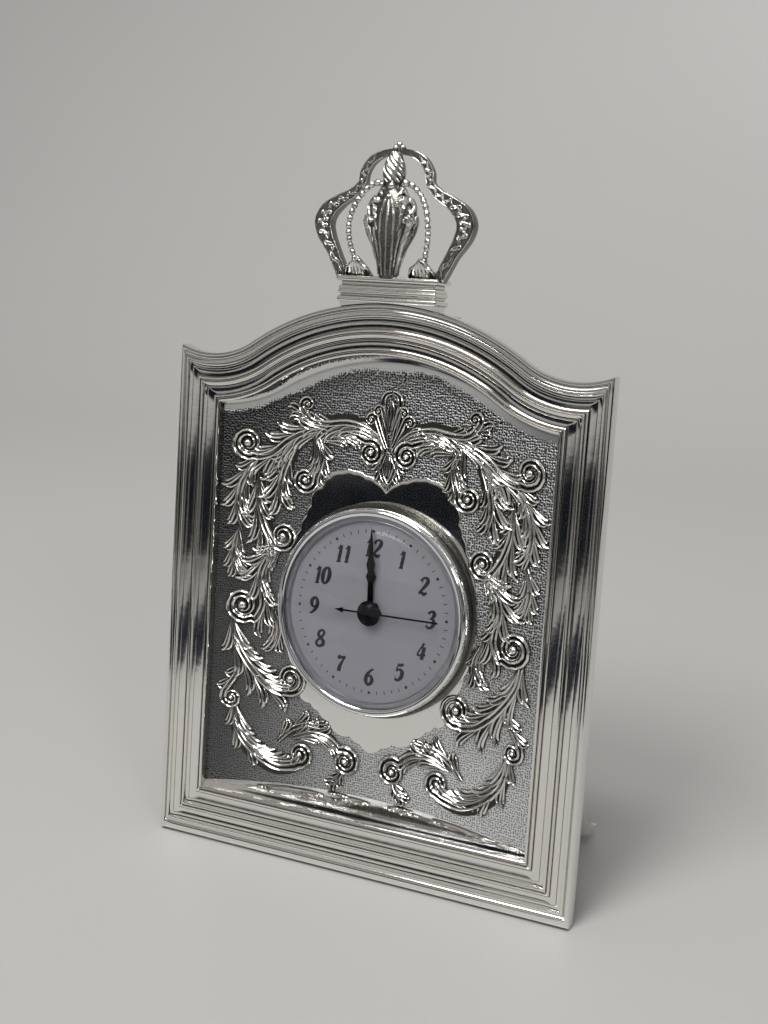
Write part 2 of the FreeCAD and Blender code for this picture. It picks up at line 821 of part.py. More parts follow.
def level(depth):
    # Front value of a depth measured back from the front of the movement
    return case_front - depth


housing_back = level(housing_depth)
plate_inner = level(plate_thickness)
cover_inner = housing_back + cover_floor
middle_front = level(middle_plate_level)
middle_back = middle_front - middle_plate_thickness
battery_place = (0, -battery_drop)

# Distances between the arbors follow from the teeth
third_distance = third_mesh_module * (train_pinion_teeth + third_wheel_teeth) / 2
centre_mesh_module = 2 * third_distance / (train_pinion_teeth + centre_wheel_teeth)
intermediate_distance = rotor_module * (train_pinion_teeth + seconds_wheel_teeth) / 2
rotor_distance = rotor_module * (train_pinion_teeth + intermediate_wheel_teeth) / 2
motion_distance = cannon_module * (cannon_teeth + minute_wheel_teeth) / 2
hour_module = 2 * motion_distance / (minute_pinion_teeth + hour_wheel_teeth)
setting_distance = cannon_module * (setting_teeth + minute_wheel_teeth) / 2

third_place = polar(third_distance, third_direction)
motion_place = polar(motion_distance, motion_direction)
setting_place = polar(motion_distance + setting_distance, motion_direction)
intermediate_place = polar(intermediate_distance, intermediate_direction)
rotor_place = polar(intermediate_distance + rotor_distance, intermediate_direction)
screw_places = [(-movement_screw_place, movement_screw_place),
                (movement_screw_place, movement_screw_place),
                (movement_screw_place, -movement_screw_place)]
pillar_places = [(-movement_screw_place, -middle_plate_low / 2),
                 (movement_screw_place, -middle_plate_low / 2),
                 (motion_place[0] + movement_screw_place / 2, movement_screw_place)]


def rounded_square(back, front, half, corner):
    body = block(-half, half, -half, half, back, front)
    upright = [edge for edge in body.Edges if edge.BoundBox.YLength > (front - back) / 2]
    return body.makeFillet(corner, upright)


def pockets(body, places, radius, back, front):
    for x, z in places:
        body = body.cut(bar(radius, back, front, x, z))
    return body


def movement_plate():
    body = rounded_square(plate_inner, case_front, housing_half, housing_corner)
    body = body.fuse(bar(bush_radius, plate_inner, dial_front + nut_height + hair))
    for x, z in pillar_places:
        body = body.fuse(bar(pillar_radius, middle_front, plate_inner, x, z))
    body = body.cut(bar(hour_tube_radius + tube_gap, -overrun, overrun))
    body = pockets(body, [third_place], arbor_radius + pivot_gap, plate_inner - hair,
                   plate_inner + pivot_depth)
    body = pockets(body, [motion_place], motion_arbor_radius + pivot_gap, plate_inner - hair,
                   plate_inner + pivot_depth)
    body = pockets(body, [setting_place], setting_shaft_radius + pivot_gap, plate_inner - hair,
                   plate_inner + pivot_depth)
    return pockets(body, screw_places, movement_screw_radius, -overrun, case_front - hair)


def middle_plate():
    half = housing_half - housing_wall - board_fit
    notch = movement_screw_place - screw_boss - board_fit
    body = block(-half, half, middle_plate_low, notch, middle_back, middle_front)
    body = body.fuse(block(-notch, notch, 0, half, middle_back, middle_front))
    body = body.cut(bar(seconds_arbor_radius + pivot_gap, -overrun, overrun))
    body = pockets(body, [third_place], arbor_radius + pivot_gap, -overrun, overrun)
    body = pockets(body, [motion_place], motion_arbor_radius + pivot_gap,
                   middle_front - middle_plate_thickness / 2, middle_front + hair)
    body = pockets(body, [setting_place], setting_shaft_radius + pivot_gap, -overrun, overrun)
    body = pockets(body, [intermediate_place, rotor_place], arbor_radius + pivot_gap,
                   middle_back - hair, middle_back + middle_plate_thickness / 2)
    return body


def battery_cavity(growth, back, front):
    x, z = battery_place
    return bar(battery_radius + growth, back, front, x, z)


def movement_cover():
    body = rounded_square(housing_back, plate_inner, housing_half, housing_corner)
    inner = rounded_square(cover_inner, plate_inner + overrun, housing_half - housing_wall,
                           housing_corner - housing_wall)
    body = body.cut(inner)
    for x, z in screw_places:
        body = body.fuse(bar(screw_boss, housing_back, plate_inner, x, z).common(
            rounded_square(housing_back, plate_inner, housing_half, housing_corner)))
    half_arm = stator_arm / 2
    for x, z in ((stator_left + half_arm, stator_top - half_arm),
                 (stator_right - half_arm, stator_bottom + half_arm)):
        body = body.fuse(bar(half_arm, cover_inner - hair, stator_level_back(), x, z))
    for z in (pcb_bottom + pcb_thickness * 2, pcb_top - pcb_thickness * 2):
        body = body.fuse(bar(pcb_thickness, cover_inner - hair, level(pcb_level + pcb_thickness),
                             pcb_right - pcb_thickness * 2, z))
    body = body.cut(battery_cavity(battery_gap, -overrun, cover_inner + hair))
    body = pockets(body, [third_place, intermediate_place, rotor_place],
                   arbor_radius + pivot_gap, cover_inner - pivot_depth, cover_inner + hair)
    body = pockets(body, [(0, 0)], seconds_arbor_radius + pivot_gap, cover_inner - pivot_depth,
                   cover_inner + hair)
    body = pockets(body, [setting_place], setting_shaft_radius + pivot_gap, -overrun, 0)
    body = pockets(body, screw_places, movement_screw_head + hair, -overrun,
                   housing_back + movement_screw_sink)
    return pockets(body, screw_places, movement_screw_radius + hair, -overrun, overrun)


def movement_screws():
    # Their heads lie below the back so that the battery cover slides over them
    single = screw(movement_screw_head, movement_screw_radius, movement_screw_radius,
                   housing_depth - movement_screw_sink - plate_thickness / 3,
                   movement_screw_radius / 2)
    single.translate(point(0, housing_back + movement_screw_sink, 0))
    return Part.makeCompound([moved(single, place) for place in screw_places])


def wheel_back(depth):
    return level(depth + wheel_thickness)


def pinion_span(depth):
    # A pinion stands a little proud of the wheel it drives, on both sides
    spare = (pinion_length - wheel_thickness) / 2
    return level(depth + wheel_thickness + spare), level(depth - spare)


def hour_wheel():
    phase = meshed_phase(0, minute_pinion_teeth, hour_wheel_teeth, motion_direction + 180)
    body = gear(hour_wheel_teeth, hour_module, phase, wheel_back(hour_wheel_level),
                level(hour_wheel_level))
    tube = bar(hour_tube_radius, wheel_back(hour_wheel_level), hour_hand_back() + hand_thickness)
    return body.fuse(tube).cut(bar(minute_tube_radius + tube_gap, -overrun, overrun))


def hour_hand_back():
    return dial_front + hour_hand_lift


def minute_hand_back():
    return hour_hand_back() + hand_step


def seconds_hand_back():
    return minute_hand_back() + hand_step


def cannon_pinion():
    low, high = pinion_span(minute_wheel_level)
    body = gear(cannon_teeth, cannon_module, 0, low, high)
    tube = bar(minute_tube_radius, middle_front + tube_gap * 2,
               minute_hand_back() + hand_thickness)
    return body.fuse(tube).cut(bar(seconds_arbor_radius + tube_gap, -overrun, overrun))


def minute_wheel():
    wheel_phase = meshed_phase(0, cannon_teeth, minute_wheel_teeth, motion_direction)
    body = gear(minute_wheel_teeth, cannon_module, wheel_phase, wheel_back(minute_wheel_level),
                level(minute_wheel_level))
    low, high = pinion_span(hour_wheel_level)
    pinion = gear(minute_pinion_teeth, hour_module, 0, low, high)
    arbor = bar(motion_arbor_radius, middle_front - middle_plate_thickness / 2 + pivot_gap,
                plate_inner + pivot_depth - pivot_gap)
    neck = bar(hour_module * minute_pinion_teeth / 3, level(minute_wheel_level), low)
    return moved(fused(body, pinion, arbor, neck), motion_place)


def setting_shaft():
    wheel_phase = meshed_phase(0, cannon_teeth, minute_wheel_teeth, motion_direction)
    phase = meshed_phase(wheel_phase, minute_wheel_teeth, setting_teeth, motion_direction)
    low, high = pinion_span(minute_wheel_level)
    body = gear(setting_teeth, cannon_module, phase, low, high)
    shaft = bar(setting_shaft_radius, knob_back() + hair, plate_inner + pivot_depth - pivot_gap)
    return moved(body.fuse(shaft), setting_place)


def knob_back():
    return housing_back - knob_gap - knob_height


def setting_knob():
    body = bar(knob_radius, knob_back(), housing_back - knob_gap)
    groove = bar(knob_ridge_depth, knob_back() - overrun, housing_back)
    for ridge in range(knob_ridges):
        body = body.cut(moved(groove, polar(knob_radius, 360 * ridge / knob_ridges)))
    body = body.cut(bar(setting_shaft_radius + hair / 2, knob_back() + hair, overrun))
    return moved(body, setting_place)


def centre_wheel():
    phase = meshed_phase(0, train_pinion_teeth, centre_wheel_teeth, third_direction + 180)
    body = gear(centre_wheel_teeth, centre_mesh_module, phase, wheel_back(centre_wheel_level),
                level(centre_wheel_level))
    hub = bar(minute_tube_radius + 6 * tube_gap, middle_front + tube_gap * 2,
              level(centre_wheel_level) + tube_gap * 2)
    return fused(body, hub).cut(bar(minute_tube_radius + tube_gap, -overrun, overrun))


def third_wheel():
    phase = meshed_phase(0, train_pinion_teeth, third_wheel_teeth, third_direction)
    body = gear(third_wheel_teeth, third_mesh_module, phase, wheel_back(third_wheel_level),
                level(third_wheel_level))
    low, high = pinion_span(centre_wheel_level)
    pinion = gear(train_pinion_teeth, centre_mesh_module, 0, low, high)
    arbor = bar(arbor_radius, cover_inner - pivot_depth + pivot_gap,
                plate_inner + pivot_depth - pivot_gap)
    return moved(fused(body, pinion, arbor), third_place)


def seconds_wheel():
    body = gear(seconds_wheel_teeth, rotor_module, 0, wheel_back(seconds_wheel_level),
                level(seconds_wheel_level))
    low, high = pinion_span(third_wheel_level)
    pinion = gear(train_pinion_teeth, third_mesh_module, 0, low, high)
    arbor = bar(seconds_arbor_radius, cover_inner - pivot_depth + pivot_gap,
                seconds_hand_back() + hand_thickness + hub_rise / 2)
    return fused(body, pinion, arbor)


def intermediate_wheel():
    phase = meshed_phase(0, seconds_wheel_teeth, train_pinion_teeth, intermediate_direction)
    low, high = pinion_span(seconds_wheel_level)
    pinion = gear(train_pinion_teeth, rotor_module, phase, low, high)
    body = gear(intermediate_wheel_teeth, rotor_module, 0, wheel_back(intermediate_wheel_level),
                level(intermediate_wheel_level))
    arbor = bar(arbor_radius, cover_inner - pivot_depth + pivot_gap,
                middle_back + middle_plate_thickness / 2 - pivot_gap)
    return moved(fused(body, pinion, arbor), intermediate_place)


def rotor():
    phase = meshed_phase(0, intermediate_wheel_teeth, train_pinion_teeth, intermediate_direction)
    low, high = pinion_span(intermediate_wheel_level)
    pinion = gear(train_pinion_teeth, rotor_module, phase, low, high)
    magnet = bar(magnet_radius, high + hair, high + hair + magnet_length)
    arbor = bar(arbor_radius, cover_inner - pivot_depth + pivot_gap,
                middle_back + middle_plate_thickness / 2 - pivot_gap)
    return moved(fused(pinion, magnet, arbor), rotor_place)


def stator_level_back():
    low, high = pinion_span(intermediate_wheel_level)
    return high + hair + (magnet_length - stator_thickness) / 2


def stator():
    back = stator_level_back()
    front = back + stator_thickness
    body = block(stator_left, stator_right, stator_bottom, stator_top, back, front)
    window = block(stator_left + stator_arm, stator_right - stator_arm, stator_bottom + stator_arm,
                   stator_top - stator_yoke, back - overrun, front + overrun)
    return body.cut(window).cut(bar(magnet_radius + stator_gap, -overrun, overrun, *rotor_place))


def coil_span():
    left = stator_left + stator_arm + hair
    right = stator_right - stator_arm - hair
    front = stator_level_back() + stator_thickness / 2
    return left, right, front, stator_bottom + stator_arm / 2


def coil_bar(radius, left, right):
    front, z = coil_span()[2:]
    return Part.makeCylinder(radius, right - left, point(left, front, z), FreeCAD.Vector(1, 0, 0))


def coil_bobbin():
    left, right, front, z = coil_span()
    core = math.hypot(stator_arm, stator_thickness) / 2 + bobbin_tube
    body = coil_bar(core, left, right).fuse(coil_bar(bobbin_flange_radius, left, left + bobbin_flange))
    body = body.fuse(coil_bar(bobbin_flange_radius, right - bobbin_flange, right))
    half = stator_arm / 2 + hair
    half_depth = stator_thickness / 2 + hair
    return body.cut(block(left - overrun, right + overrun, z - half, z + half,
                          front - half_depth, front + half_depth))


def coil_winding():
    left, right = coil_span()[:2]
    core = math.hypot(stator_arm, stator_thickness) / 2 + bobbin_tube + hair
    body = coil_bar(winding_radius, left + bobbin_flange + hair, right - bobbin_flange - hair)
    return body.cut(coil_bar(core, left - hair, right + hair))


def circuit_board():
    back = level(pcb_level + pcb_thickness)
    return block(pcb_left, pcb_right, pcb_bottom, pcb_top, back, back + pcb_thickness)


def quartz_can():
    x = (pcb_left + pcb_right) / 2
    front = level(pcb_level) + can_radius
    low = (pcb_bottom + pcb_top - can_length) / 2
    return Part.makeCylinder(can_radius, can_length, point(x, front, low))


def battery_front():
    return housing_back + battery_gap + battery_height


def battery():
    body = battery_cavity(0, housing_back + battery_gap, battery_front())
    step = battery_radius / 8
    rim = ring(battery_radius + step, battery_radius - step, battery_front() - step, overrun,
               *battery_place)
    return body.cut(rim)


def negative_contact():
    x, z = battery_place
    front = battery_front() + contact_thickness + hair
    strip = block(x - contact_width / 2, x + contact_width / 2, z - battery_radius / 2,
                  middle_plate_low - hair, front - contact_thickness, front)
    riser = block(x - contact_width / 2, x + contact_width / 2,
                  middle_plate_low - hair - contact_thickness, middle_plate_low - hair,
                  front - contact_thickness, plate_inner - hair)
    return fused(strip, riser)


def positive_contact():
    x, z = battery_place
    left = x + battery_radius + hair
    back = level(pcb_level) - pcb_thickness
    upright = block(left, left + contact_thickness, z, z + contact_width,
                    cover_inner + hair, battery_front())
    tail = block(left, pcb_left + contact_width, z + contact_width - contact_thickness,
                 z + contact_width, cover_inner + hair, back + contact_width / 2)
    riser = block(pcb_left + contact_width - contact_thickness, pcb_left + contact_width,
                  z + contact_width - contact_thickness, pcb_bottom - hair,
                  cover_inner + hair, back + contact_width / 2)
    return fused(upright, tail, riser)


def battery_cover():
    x, z = battery_place
    half = battery_radius + hatch_margin
    body = block(x - half, x + half, z - half + hatch_margin / 2, z + half - hatch_margin / 2,
                 housing_back - hatch_thickness, housing_back)
    grooves = [block(x - half / 2, x + half / 2, z + offset * hatch_margin,
                     z + (offset + 1) * hatch_margin, housing_back - hatch_thickness - hair,
                     housing_back - hatch_thickness / 2) for offset in (-5, -3, -1, 1, 3)]
    return body.cut(Part.makeCompound(grooves))


def hand(length, half_width, eye_radius, form, bore, back):
    # A broad hand pointing up: an eye on the tube and a waisted blade
    sides = [(width * half_width, share * length) for share, width in form]
    spots = [point(x, back, z) for x, z in sides]
    spots += [point(-x, back, z) for x, z in reversed(sides)]
    blade = Part.Face(Part.makePolygon(spots + spots[:1])).extrude(
        FreeCAD.Vector(0, -hand_thickness, 0))
    body = fused(blade, bar(eye_radius, back, back + hand_thickness))
    return body.cut(bar(bore, -overrun, overrun))


def hour_hand():
    return hand(hour_hand_length, hour_hand_half_width, hour_eye, hour_hand_shares,
                hour_tube_radius + hair / 5, hour_hand_back())


def minute_hand():
    return hand(minute_hand_length, minute_hand_half_width, minute_eye, minute_hand_shares,
                minute_tube_radius + hair / 5, minute_hand_back())


def seconds_hand():
    back = seconds_hand_back()
    head = seconds_tail / 4
    spots = [(-seconds_half_width, 0), (-seconds_half_width, seconds_hand_length),
             (seconds_half_width, seconds_hand_length), (seconds_half_width, 0),
             (seconds_half_width, head - seconds_tail), (tail_half_width, head - seconds_tail),
             (0, -seconds_tail), (-tail_half_width, head - seconds_tail),
             (-seconds_half_width, head - seconds_tail)]
    outline_points = [point(x, back, z) for x, z in spots]
    blade = Part.Face(Part.makePolygon(outline_points + outline_points[:1])).extrude(
        FreeCAD.Vector(0, -hand_thickness, 0))
    body = fused(blade, bar(seconds_eye, back, back + hand_thickness))
    body = body.cut(bar(seconds_arbor_radius + hair / 5, -overrun, overrun))
    body.rotate(FreeCAD.Vector(0, 0, 0), FreeCAD.Vector(0, 1, 0), seconds_angle)
    return body


def hub_cap():
    back = seconds_hand_back() + hand_thickness
    radius = (hub_radius ** 2 + hub_rise ** 2) / (2 * hub_rise)
    dome = Part.makeSphere(radius, point(0, back + hub_rise - radius, 0))
    body = bar(hub_radius, back, back + hub_rise + hair).common(dome)
    return body.cut(bar(seconds_arbor_radius + hair / 5, -overrun, back + hub_rise / 2 + hair))


# Frame
keep("frame_moulding", to_row(frame_moulding().cut(crown_screw())))
keep("embossed_plaque", to_row(embossed_plaque()))
keep("seat_collar", to_row(seat_collar()))
keep("core_frame", above_table(to_row(drilled_core(core_frame()))))
keep("clock_board", to_row(clock_board()))
keep("back_board", to_row(back_board()))
keep("back_board_screws", to_row(back_board_screws()))

# Crown: each piece is trimmed by those it is soldered to
base = crown_base()
leaf = crown_leaf().cut(base)
keep("crown_base", to_row(base))
keep("crown_leaf", to_row(leaf))
for side, sign in (("left", -1), ("right", 1)):
    beads = beaded_arch(sign).cut(base).cut(leaf)
    arch = side_arch(sign).cut(base).cut(leaf).cut(beads)
    own_side = block(min(0, sign) * half_width, max(0, sign) * half_width, 0, 2 * arch_top,
                     -overrun, overrun)
    keep("crown_beaded_arch_" + side, to_row(beads.common(own_side)))
    keep("crown_arch_" + side, to_row(arch.common(own_side).cut(crown_finial())))
keep("crown_finial", to_row(crown_finial().cut(leaf)))
keep("crown_screw", to_row(crown_screw()))

# Feet
for side, sign in (("left", -1), ("right", 1)):
    keep("rear_foot_" + side, rear_foot(sign))
keep("foot_screws", to_row(foot_screws()))

# Clock insert and its movement
insert_pieces = [
    ("clock_bezel", bezel), ("clock_crystal", crystal), ("crystal_gasket", crystal_gasket),
    ("clock_case", clock_case), ("clock_dial", dial), ("grip_band", grip_band),
    ("dial_nut", dial_nut), ("movement_plate", movement_plate), ("middle_plate", middle_plate),
    ("movement_cover", movement_cover), ("movement_screws", movement_screws),
    ("hour_wheel", hour_wheel), ("cannon_pinion", cannon_pinion), ("minute_wheel", minute_wheel),
    ("setting_shaft", setting_shaft), ("setting_knob", setting_knob),
    ("centre_wheel", centre_wheel), ("third_wheel", third_wheel),
    ("seconds_wheel", seconds_wheel), ("intermediate_wheel", intermediate_wheel),
    ("rotor", rotor), ("stator", stator), ("coil_bobbin", coil_bobbin),
    ("coil_winding", coil_winding), ("circuit_board", circuit_board), ("quartz_can", quartz_can),
    ("battery", battery), ("negative_contact", negative_contact),
    ("positive_contact", positive_contact), ("battery_cover", battery_cover),
    ("hour_hand", hour_hand), ("minute_hand", minute_hand), ("seconds_hand", seconds_hand),
    ("hub_cap", hub_cap),
]
for name, make in insert_pieces:
    keep_insert(name, make())

for name, shape in nodes.items():
    shape.exportStep("parts/" + name + ".step")
    box = shape.BoundBox
    print("%-26s solids %d valid %s volume %.1f  z %.2f to %.2f" % (
        name, len(shape.Solids), shape.isValid(), shape.Volume, box.ZMin, box.ZMax))
print(len(nodes), "nodes")
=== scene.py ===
import bpy
import json
import math
import random
from contextlib import contextmanager
from mathutils import Matrix, Vector


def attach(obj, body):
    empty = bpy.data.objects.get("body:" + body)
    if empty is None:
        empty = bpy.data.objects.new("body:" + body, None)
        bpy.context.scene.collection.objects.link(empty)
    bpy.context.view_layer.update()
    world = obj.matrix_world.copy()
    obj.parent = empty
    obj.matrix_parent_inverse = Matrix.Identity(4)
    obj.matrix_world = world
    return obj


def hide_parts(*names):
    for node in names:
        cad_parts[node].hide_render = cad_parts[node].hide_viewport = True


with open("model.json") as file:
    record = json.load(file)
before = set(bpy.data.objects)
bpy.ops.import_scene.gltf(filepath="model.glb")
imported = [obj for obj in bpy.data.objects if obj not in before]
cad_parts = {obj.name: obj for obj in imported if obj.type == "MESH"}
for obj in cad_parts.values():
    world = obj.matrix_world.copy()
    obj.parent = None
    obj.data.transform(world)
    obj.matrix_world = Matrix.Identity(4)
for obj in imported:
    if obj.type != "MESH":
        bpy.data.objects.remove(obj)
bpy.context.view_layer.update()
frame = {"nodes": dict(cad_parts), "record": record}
random.seed(7)

# The frame leans back; pieces are drawn upright in millimetres (x, front, up) and leaned here
stance = {"lean": 8.39, "coreDepth": 16.0, "clockHeight": 84.76, "insertTurn": 2.1}
leanRad = math.radians(stance["lean"])
originBack = stance["coreDepth"] / (2 * math.cos(leanRad))
mm = Matrix.Scale(0.001, 4)
leanBack = mm @ Matrix.Translation((0, -originBack, 0)) @ Matrix.Rotation(-leanRad, 4, "X")
inClock = (leanBack @ Matrix.Translation((0, 0, stance["clockHeight"]))
           @ Matrix.Rotation(math.radians(-stance["insertTurn"]), 4, "Y"))


class Value:
    # A socket that can be used in plain sums
    def __init__(self, finish, socket):
        self.finish, self.socket = finish, socket

    def step(self, operation, *others):
        return self.finish.add("Math", {"operation": operation},
                               dict(enumerate((self,) + others)))

    def __add__(self, other): return self.step("ADD", other)
    def __radd__(self, other): return self.step("ADD", other)
    def __mul__(self, other): return self.step("MULTIPLY", other)
    def __rmul__(self, other): return self.step("MULTIPLY", other)
    def __sub__(self, other): return self.step("SUBTRACT", other)
    def __truediv__(self, other): return self.step("DIVIDE", other)
    def __pow__(self, other): return self.step("POWER", other)
    def __rsub__(self, other):
        return self.finish.add("Math", {"operation": "SUBTRACT"}, {0: other, 1: self})


class Finish:
    # One material on a Principled shader, or the world's background
    def __init__(self, name, owner=None, **sockets):
        self.material = owner or bpy.data.materials.new(name)
        self.material.use_nodes = True
        self.tree = self.material.node_tree
        self.shader = self.tree.nodes["Background" if owner else "Principled BSDF"]
        for label, value in sockets.items():
            self.set(label, value)

    def set(self, label, value):
        words = {"color": "Base Color", "metallic": "Metallic", "roughness": "Roughness",
                 "coat": "Coat Weight", "coatRoughness": "Coat Roughness", "ior": "IOR",
                 "transmission": "Transmission Weight", "normal": "Normal", "alpha": "Alpha",
                 "specular": "Specular IOR Level"}
        self.feed(self.shader.inputs[words[label]], value)

    def feed(self, socket, value):
        if isinstance(value, Value):
            self.tree.links.new(value.socket, socket)
        elif isinstance(value, tuple) and len(value) == 3 and socket.type == "RGBA":
            socket.default_value = value + (1,)
        else:
            socket.default_value = value

    def add(self, kind, settings=None, inputs=None, output=0):
        node = self.tree.nodes.new("ShaderNode" + kind)
        for key, value in (settings or {}).items():
            if key == "stops":
                ramp = node.color_ramp
                while len(ramp.elements) < len(value):
                    ramp.elements.new(0.5)
                for element, (place, color) in zip(ramp.elements, value):
                    element.position, element.color = place, color + (1,)
            else:
                setattr(node, key, value)
        for key, value in (inputs or {}).items():
            self.feed(node.inputs[key], value)
        return Value(self, node.outputs[output])

    def place(self, turned=True):
        # Object coordinates in millimetres, turned upright again
        here = self.add("TexCoord", output=3)
        return self.add("Mapping", None, {
            "Vector": here, "Rotation": (leanRad if turned else 0, 0, 0),
            "Scale": (1000, 1000, 1000)})

    def noise(self, scale, detail=3, place=None, rough=0.5):
        return self.add("TexNoise", None, {
            "Vector": place or self.place(), "Scale": scale, "Detail": detail, "Roughness": rough})

    def mix(self, share, first, second):
        return self.add("Mix", {"data_type": "RGBA"}, {0: share, 6: first, 7: second},
                        output=2)

    def smooth(self, value, low, high):
        return self.add("MapRange", {"interpolation_type": "SMOOTHSTEP"},
                        {"Value": value, "From Min": low, "From Max": high})

    def corner(self, distance, samples=6):
        # 1 in the open, down to 0 in tight corners
        return self.add("AmbientOcclusion", {"samples": samples},
                        {"Distance": distance}, output=1)

    def bump(self, height, distance, strength=1.0):
        self.set("normal", self.add("Bump", None, {
            "Height": height, "Distance": distance, "Strength": strength}))


silverLook = {"bright": (0.84, 0.825, 0.79), "tarnish": (0.34, 0.31, 0.27),
              "dark": (0.03, 0.028, 0.023), "rough": 0.05}


def polishedSilver():
    finish = Finish("polishedSilver", metallic=1.0)
    smear = finish.noise(0.12, 4)
    finish.set("color", finish.mix(finish.smooth(finish.corner(0.0016), 0.15, 0.75),
                                   silverLook["tarnish"], silverLook["bright"]))
    finish.set("roughness", silverLook["rough"] + smear * 0.05)
    finish.bump(finish.noise(0.22, 2), 0.00004, 0.35)
    return finish.material


def agedSilver(name, reach, low, high, grain=0.0, bright=silverLook["bright"]):
    finish = Finish(name, metallic=1.0)
    worn = finish.smooth(finish.corner(reach), low, high)
    finish.set("color", finish.mix(worn, silverLook["dark"], bright))
    finish.set("roughness", 0.34 - worn * 0.22)
    if grain:
        finish.bump(finish.noise(1.6, 3), 0.0002, grain)
    return finish.material


# The punched ground: where its top edge runs, its dots, its tones and the painted shade that darkens
# it to the left
groundLook = {"edgeTop": 158.3, "edgeFall": 16.4, "fallSpan": (8.0, 56.0), "dotScale": 1.25,
              "dotScatter": 0.6, "lowerDots": (0.16, 0.40), "upperDots": (0.22, 0.62),
              "upperSpan": (45.0, 120.0), "shadeSpan": (-60.0, 20.0), "leftLight": 0.17,
              "metal": (0.78, 0.765, 0.72), "worn": (0.09, 0.086, 0.075),
              "corner": (0.02, 0.019, 0.016)}


def stippledSilver():
    # Punched ground: fine dimples with dark hollows, polished towards the top edge, with painted shade
    # towards the left
    finish = Finish("stippledSilver", metallic=1.0)
    place = finish.place()
    wobble = finish.noise(0.35, 2, place)
    x = finish.add("SeparateXYZ", None, {"Vector": place}, 0)
    z = finish.add("SeparateXYZ", None, {"Vector": place}, 2)
    flat = finish.add("CombineXYZ", None, {"X": x, "Y": z})
    dots = finish.add("TexVoronoi", {"feature": "F1", "voronoi_dimensions": "2D"},
                      {"Vector": flat, "Scale": groundLook["dotScale"],
                       "Randomness": groundLook["dotScatter"]})
    fall = finish.smooth(x.step("ABSOLUTE"), *groundLook["fallSpan"])
    edge = groundLook["edgeTop"] - fall * groundLook["edgeFall"] - 1.2 + wobble * 2.4
    bare = finish.smooth(z + dots * 2.2, edge + 0.7, edge + 1.5)
    upper = finish.smooth(z + x * 0.35, *groundLook["upperSpan"])
    hollow = 1 - (finish.smooth(dots, *groundLook["lowerDots"]) * (1 - upper)
                  + finish.smooth(dots, *groundLook["upperDots"]) * upper)
    depth = (1 - bare) * hollow
    corner = finish.smooth(finish.corner(0.0014), 0.30, 0.92)
    patches = finish.smooth(finish.noise(0.05, 2, place), 0.35, 0.65)
    tone = finish.mix(depth, groundLook["metal"],
                      finish.mix(patches, silverLook["dark"], groundLook["worn"]))
    # Painted shade: off the polished margin the ground's colour is darkened towards the left, and a
    # little more in its upper part
    least = groundLook["leftLight"]
    light = least + (1 - least) * finish.smooth(x, *groundLook["shadeSpan"])
    shade = 1 - light * (1 - 0.3 * upper)
    tone = tone * (1 - shade * (1 - bare))
    finish.set("color", finish.mix(corner, groundLook["corner"], tone))
    finish.set("roughness", 0.10 + (1 - bare) * 0.22)
    finish.bump(depth * -1.0, 0.00020, 0.7)
    return finish.material


def plainFinish(name, color, roughness, metallic=0.0, coat=0.0, grain=0.4, size=0.6,
                depth=0.00004, specular=0.5):
    finish = Finish(name, metallic=metallic, coat=coat, specular=specular)
    spots = finish.noise(size, 3)
    lighter = tuple(min(1, c * 1.12 + 0.004) for c in color)
    finish.set("color", finish.mix(spots, color, lighter))
    finish.set("roughness", roughness + spots * 0.08)
    finish.bump(spots, depth, grain)
    return finish.material


woodLook = {"grain": (0.5, 0.5, 0.03), "tones": [
    (0.3, (0.020, 0.010, 0.006)), (0.55, (0.075, 0.036, 0.020)), (0.8, (0.13, 0.068, 0.038))]}


def darkWood():
    finish = Finish("darkWood", coat=0.25)
    place = finish.place()
    grainPlace = finish.add("Mapping", None, {"Vector": place, "Scale": woodLook["grain"]})
    grain = finish.noise(1.3, 5, grainPlace, 0.6)
    finish.set("color", finish.add("ValToRGB", {"stops": woodLook["tones"]}, {"Fac": grain}))
    finish.set("roughness", 0.42 + grain * 0.2)
    finish.bump(grain, 0.0001, 0.5)
    return finish.material


def crystalGlass():
    return Finish("crystalGlass", roughness=0.02, transmission=1.0, ior=1.28,
                  color=(0.97, 0.975, 1.0)).material


dialTones = (0.33, 0.325, 0.34), (0.38, 0.375, 0.39)


def dialPaint():
    finish = Finish("dialPaint", metallic=0.0, coat=0.5, coatRoughness=0.12)
    place = finish.place()
    cloud = finish.noise(0.03, 3, place)
    finish.set("color", finish.mix(cloud, *dialTones))
    finish.set("roughness", 0.38 + cloud * 0.1)
    finish.bump(finish.noise(2.5, 2, place), 0.00001, 0.3)
    return finish.material


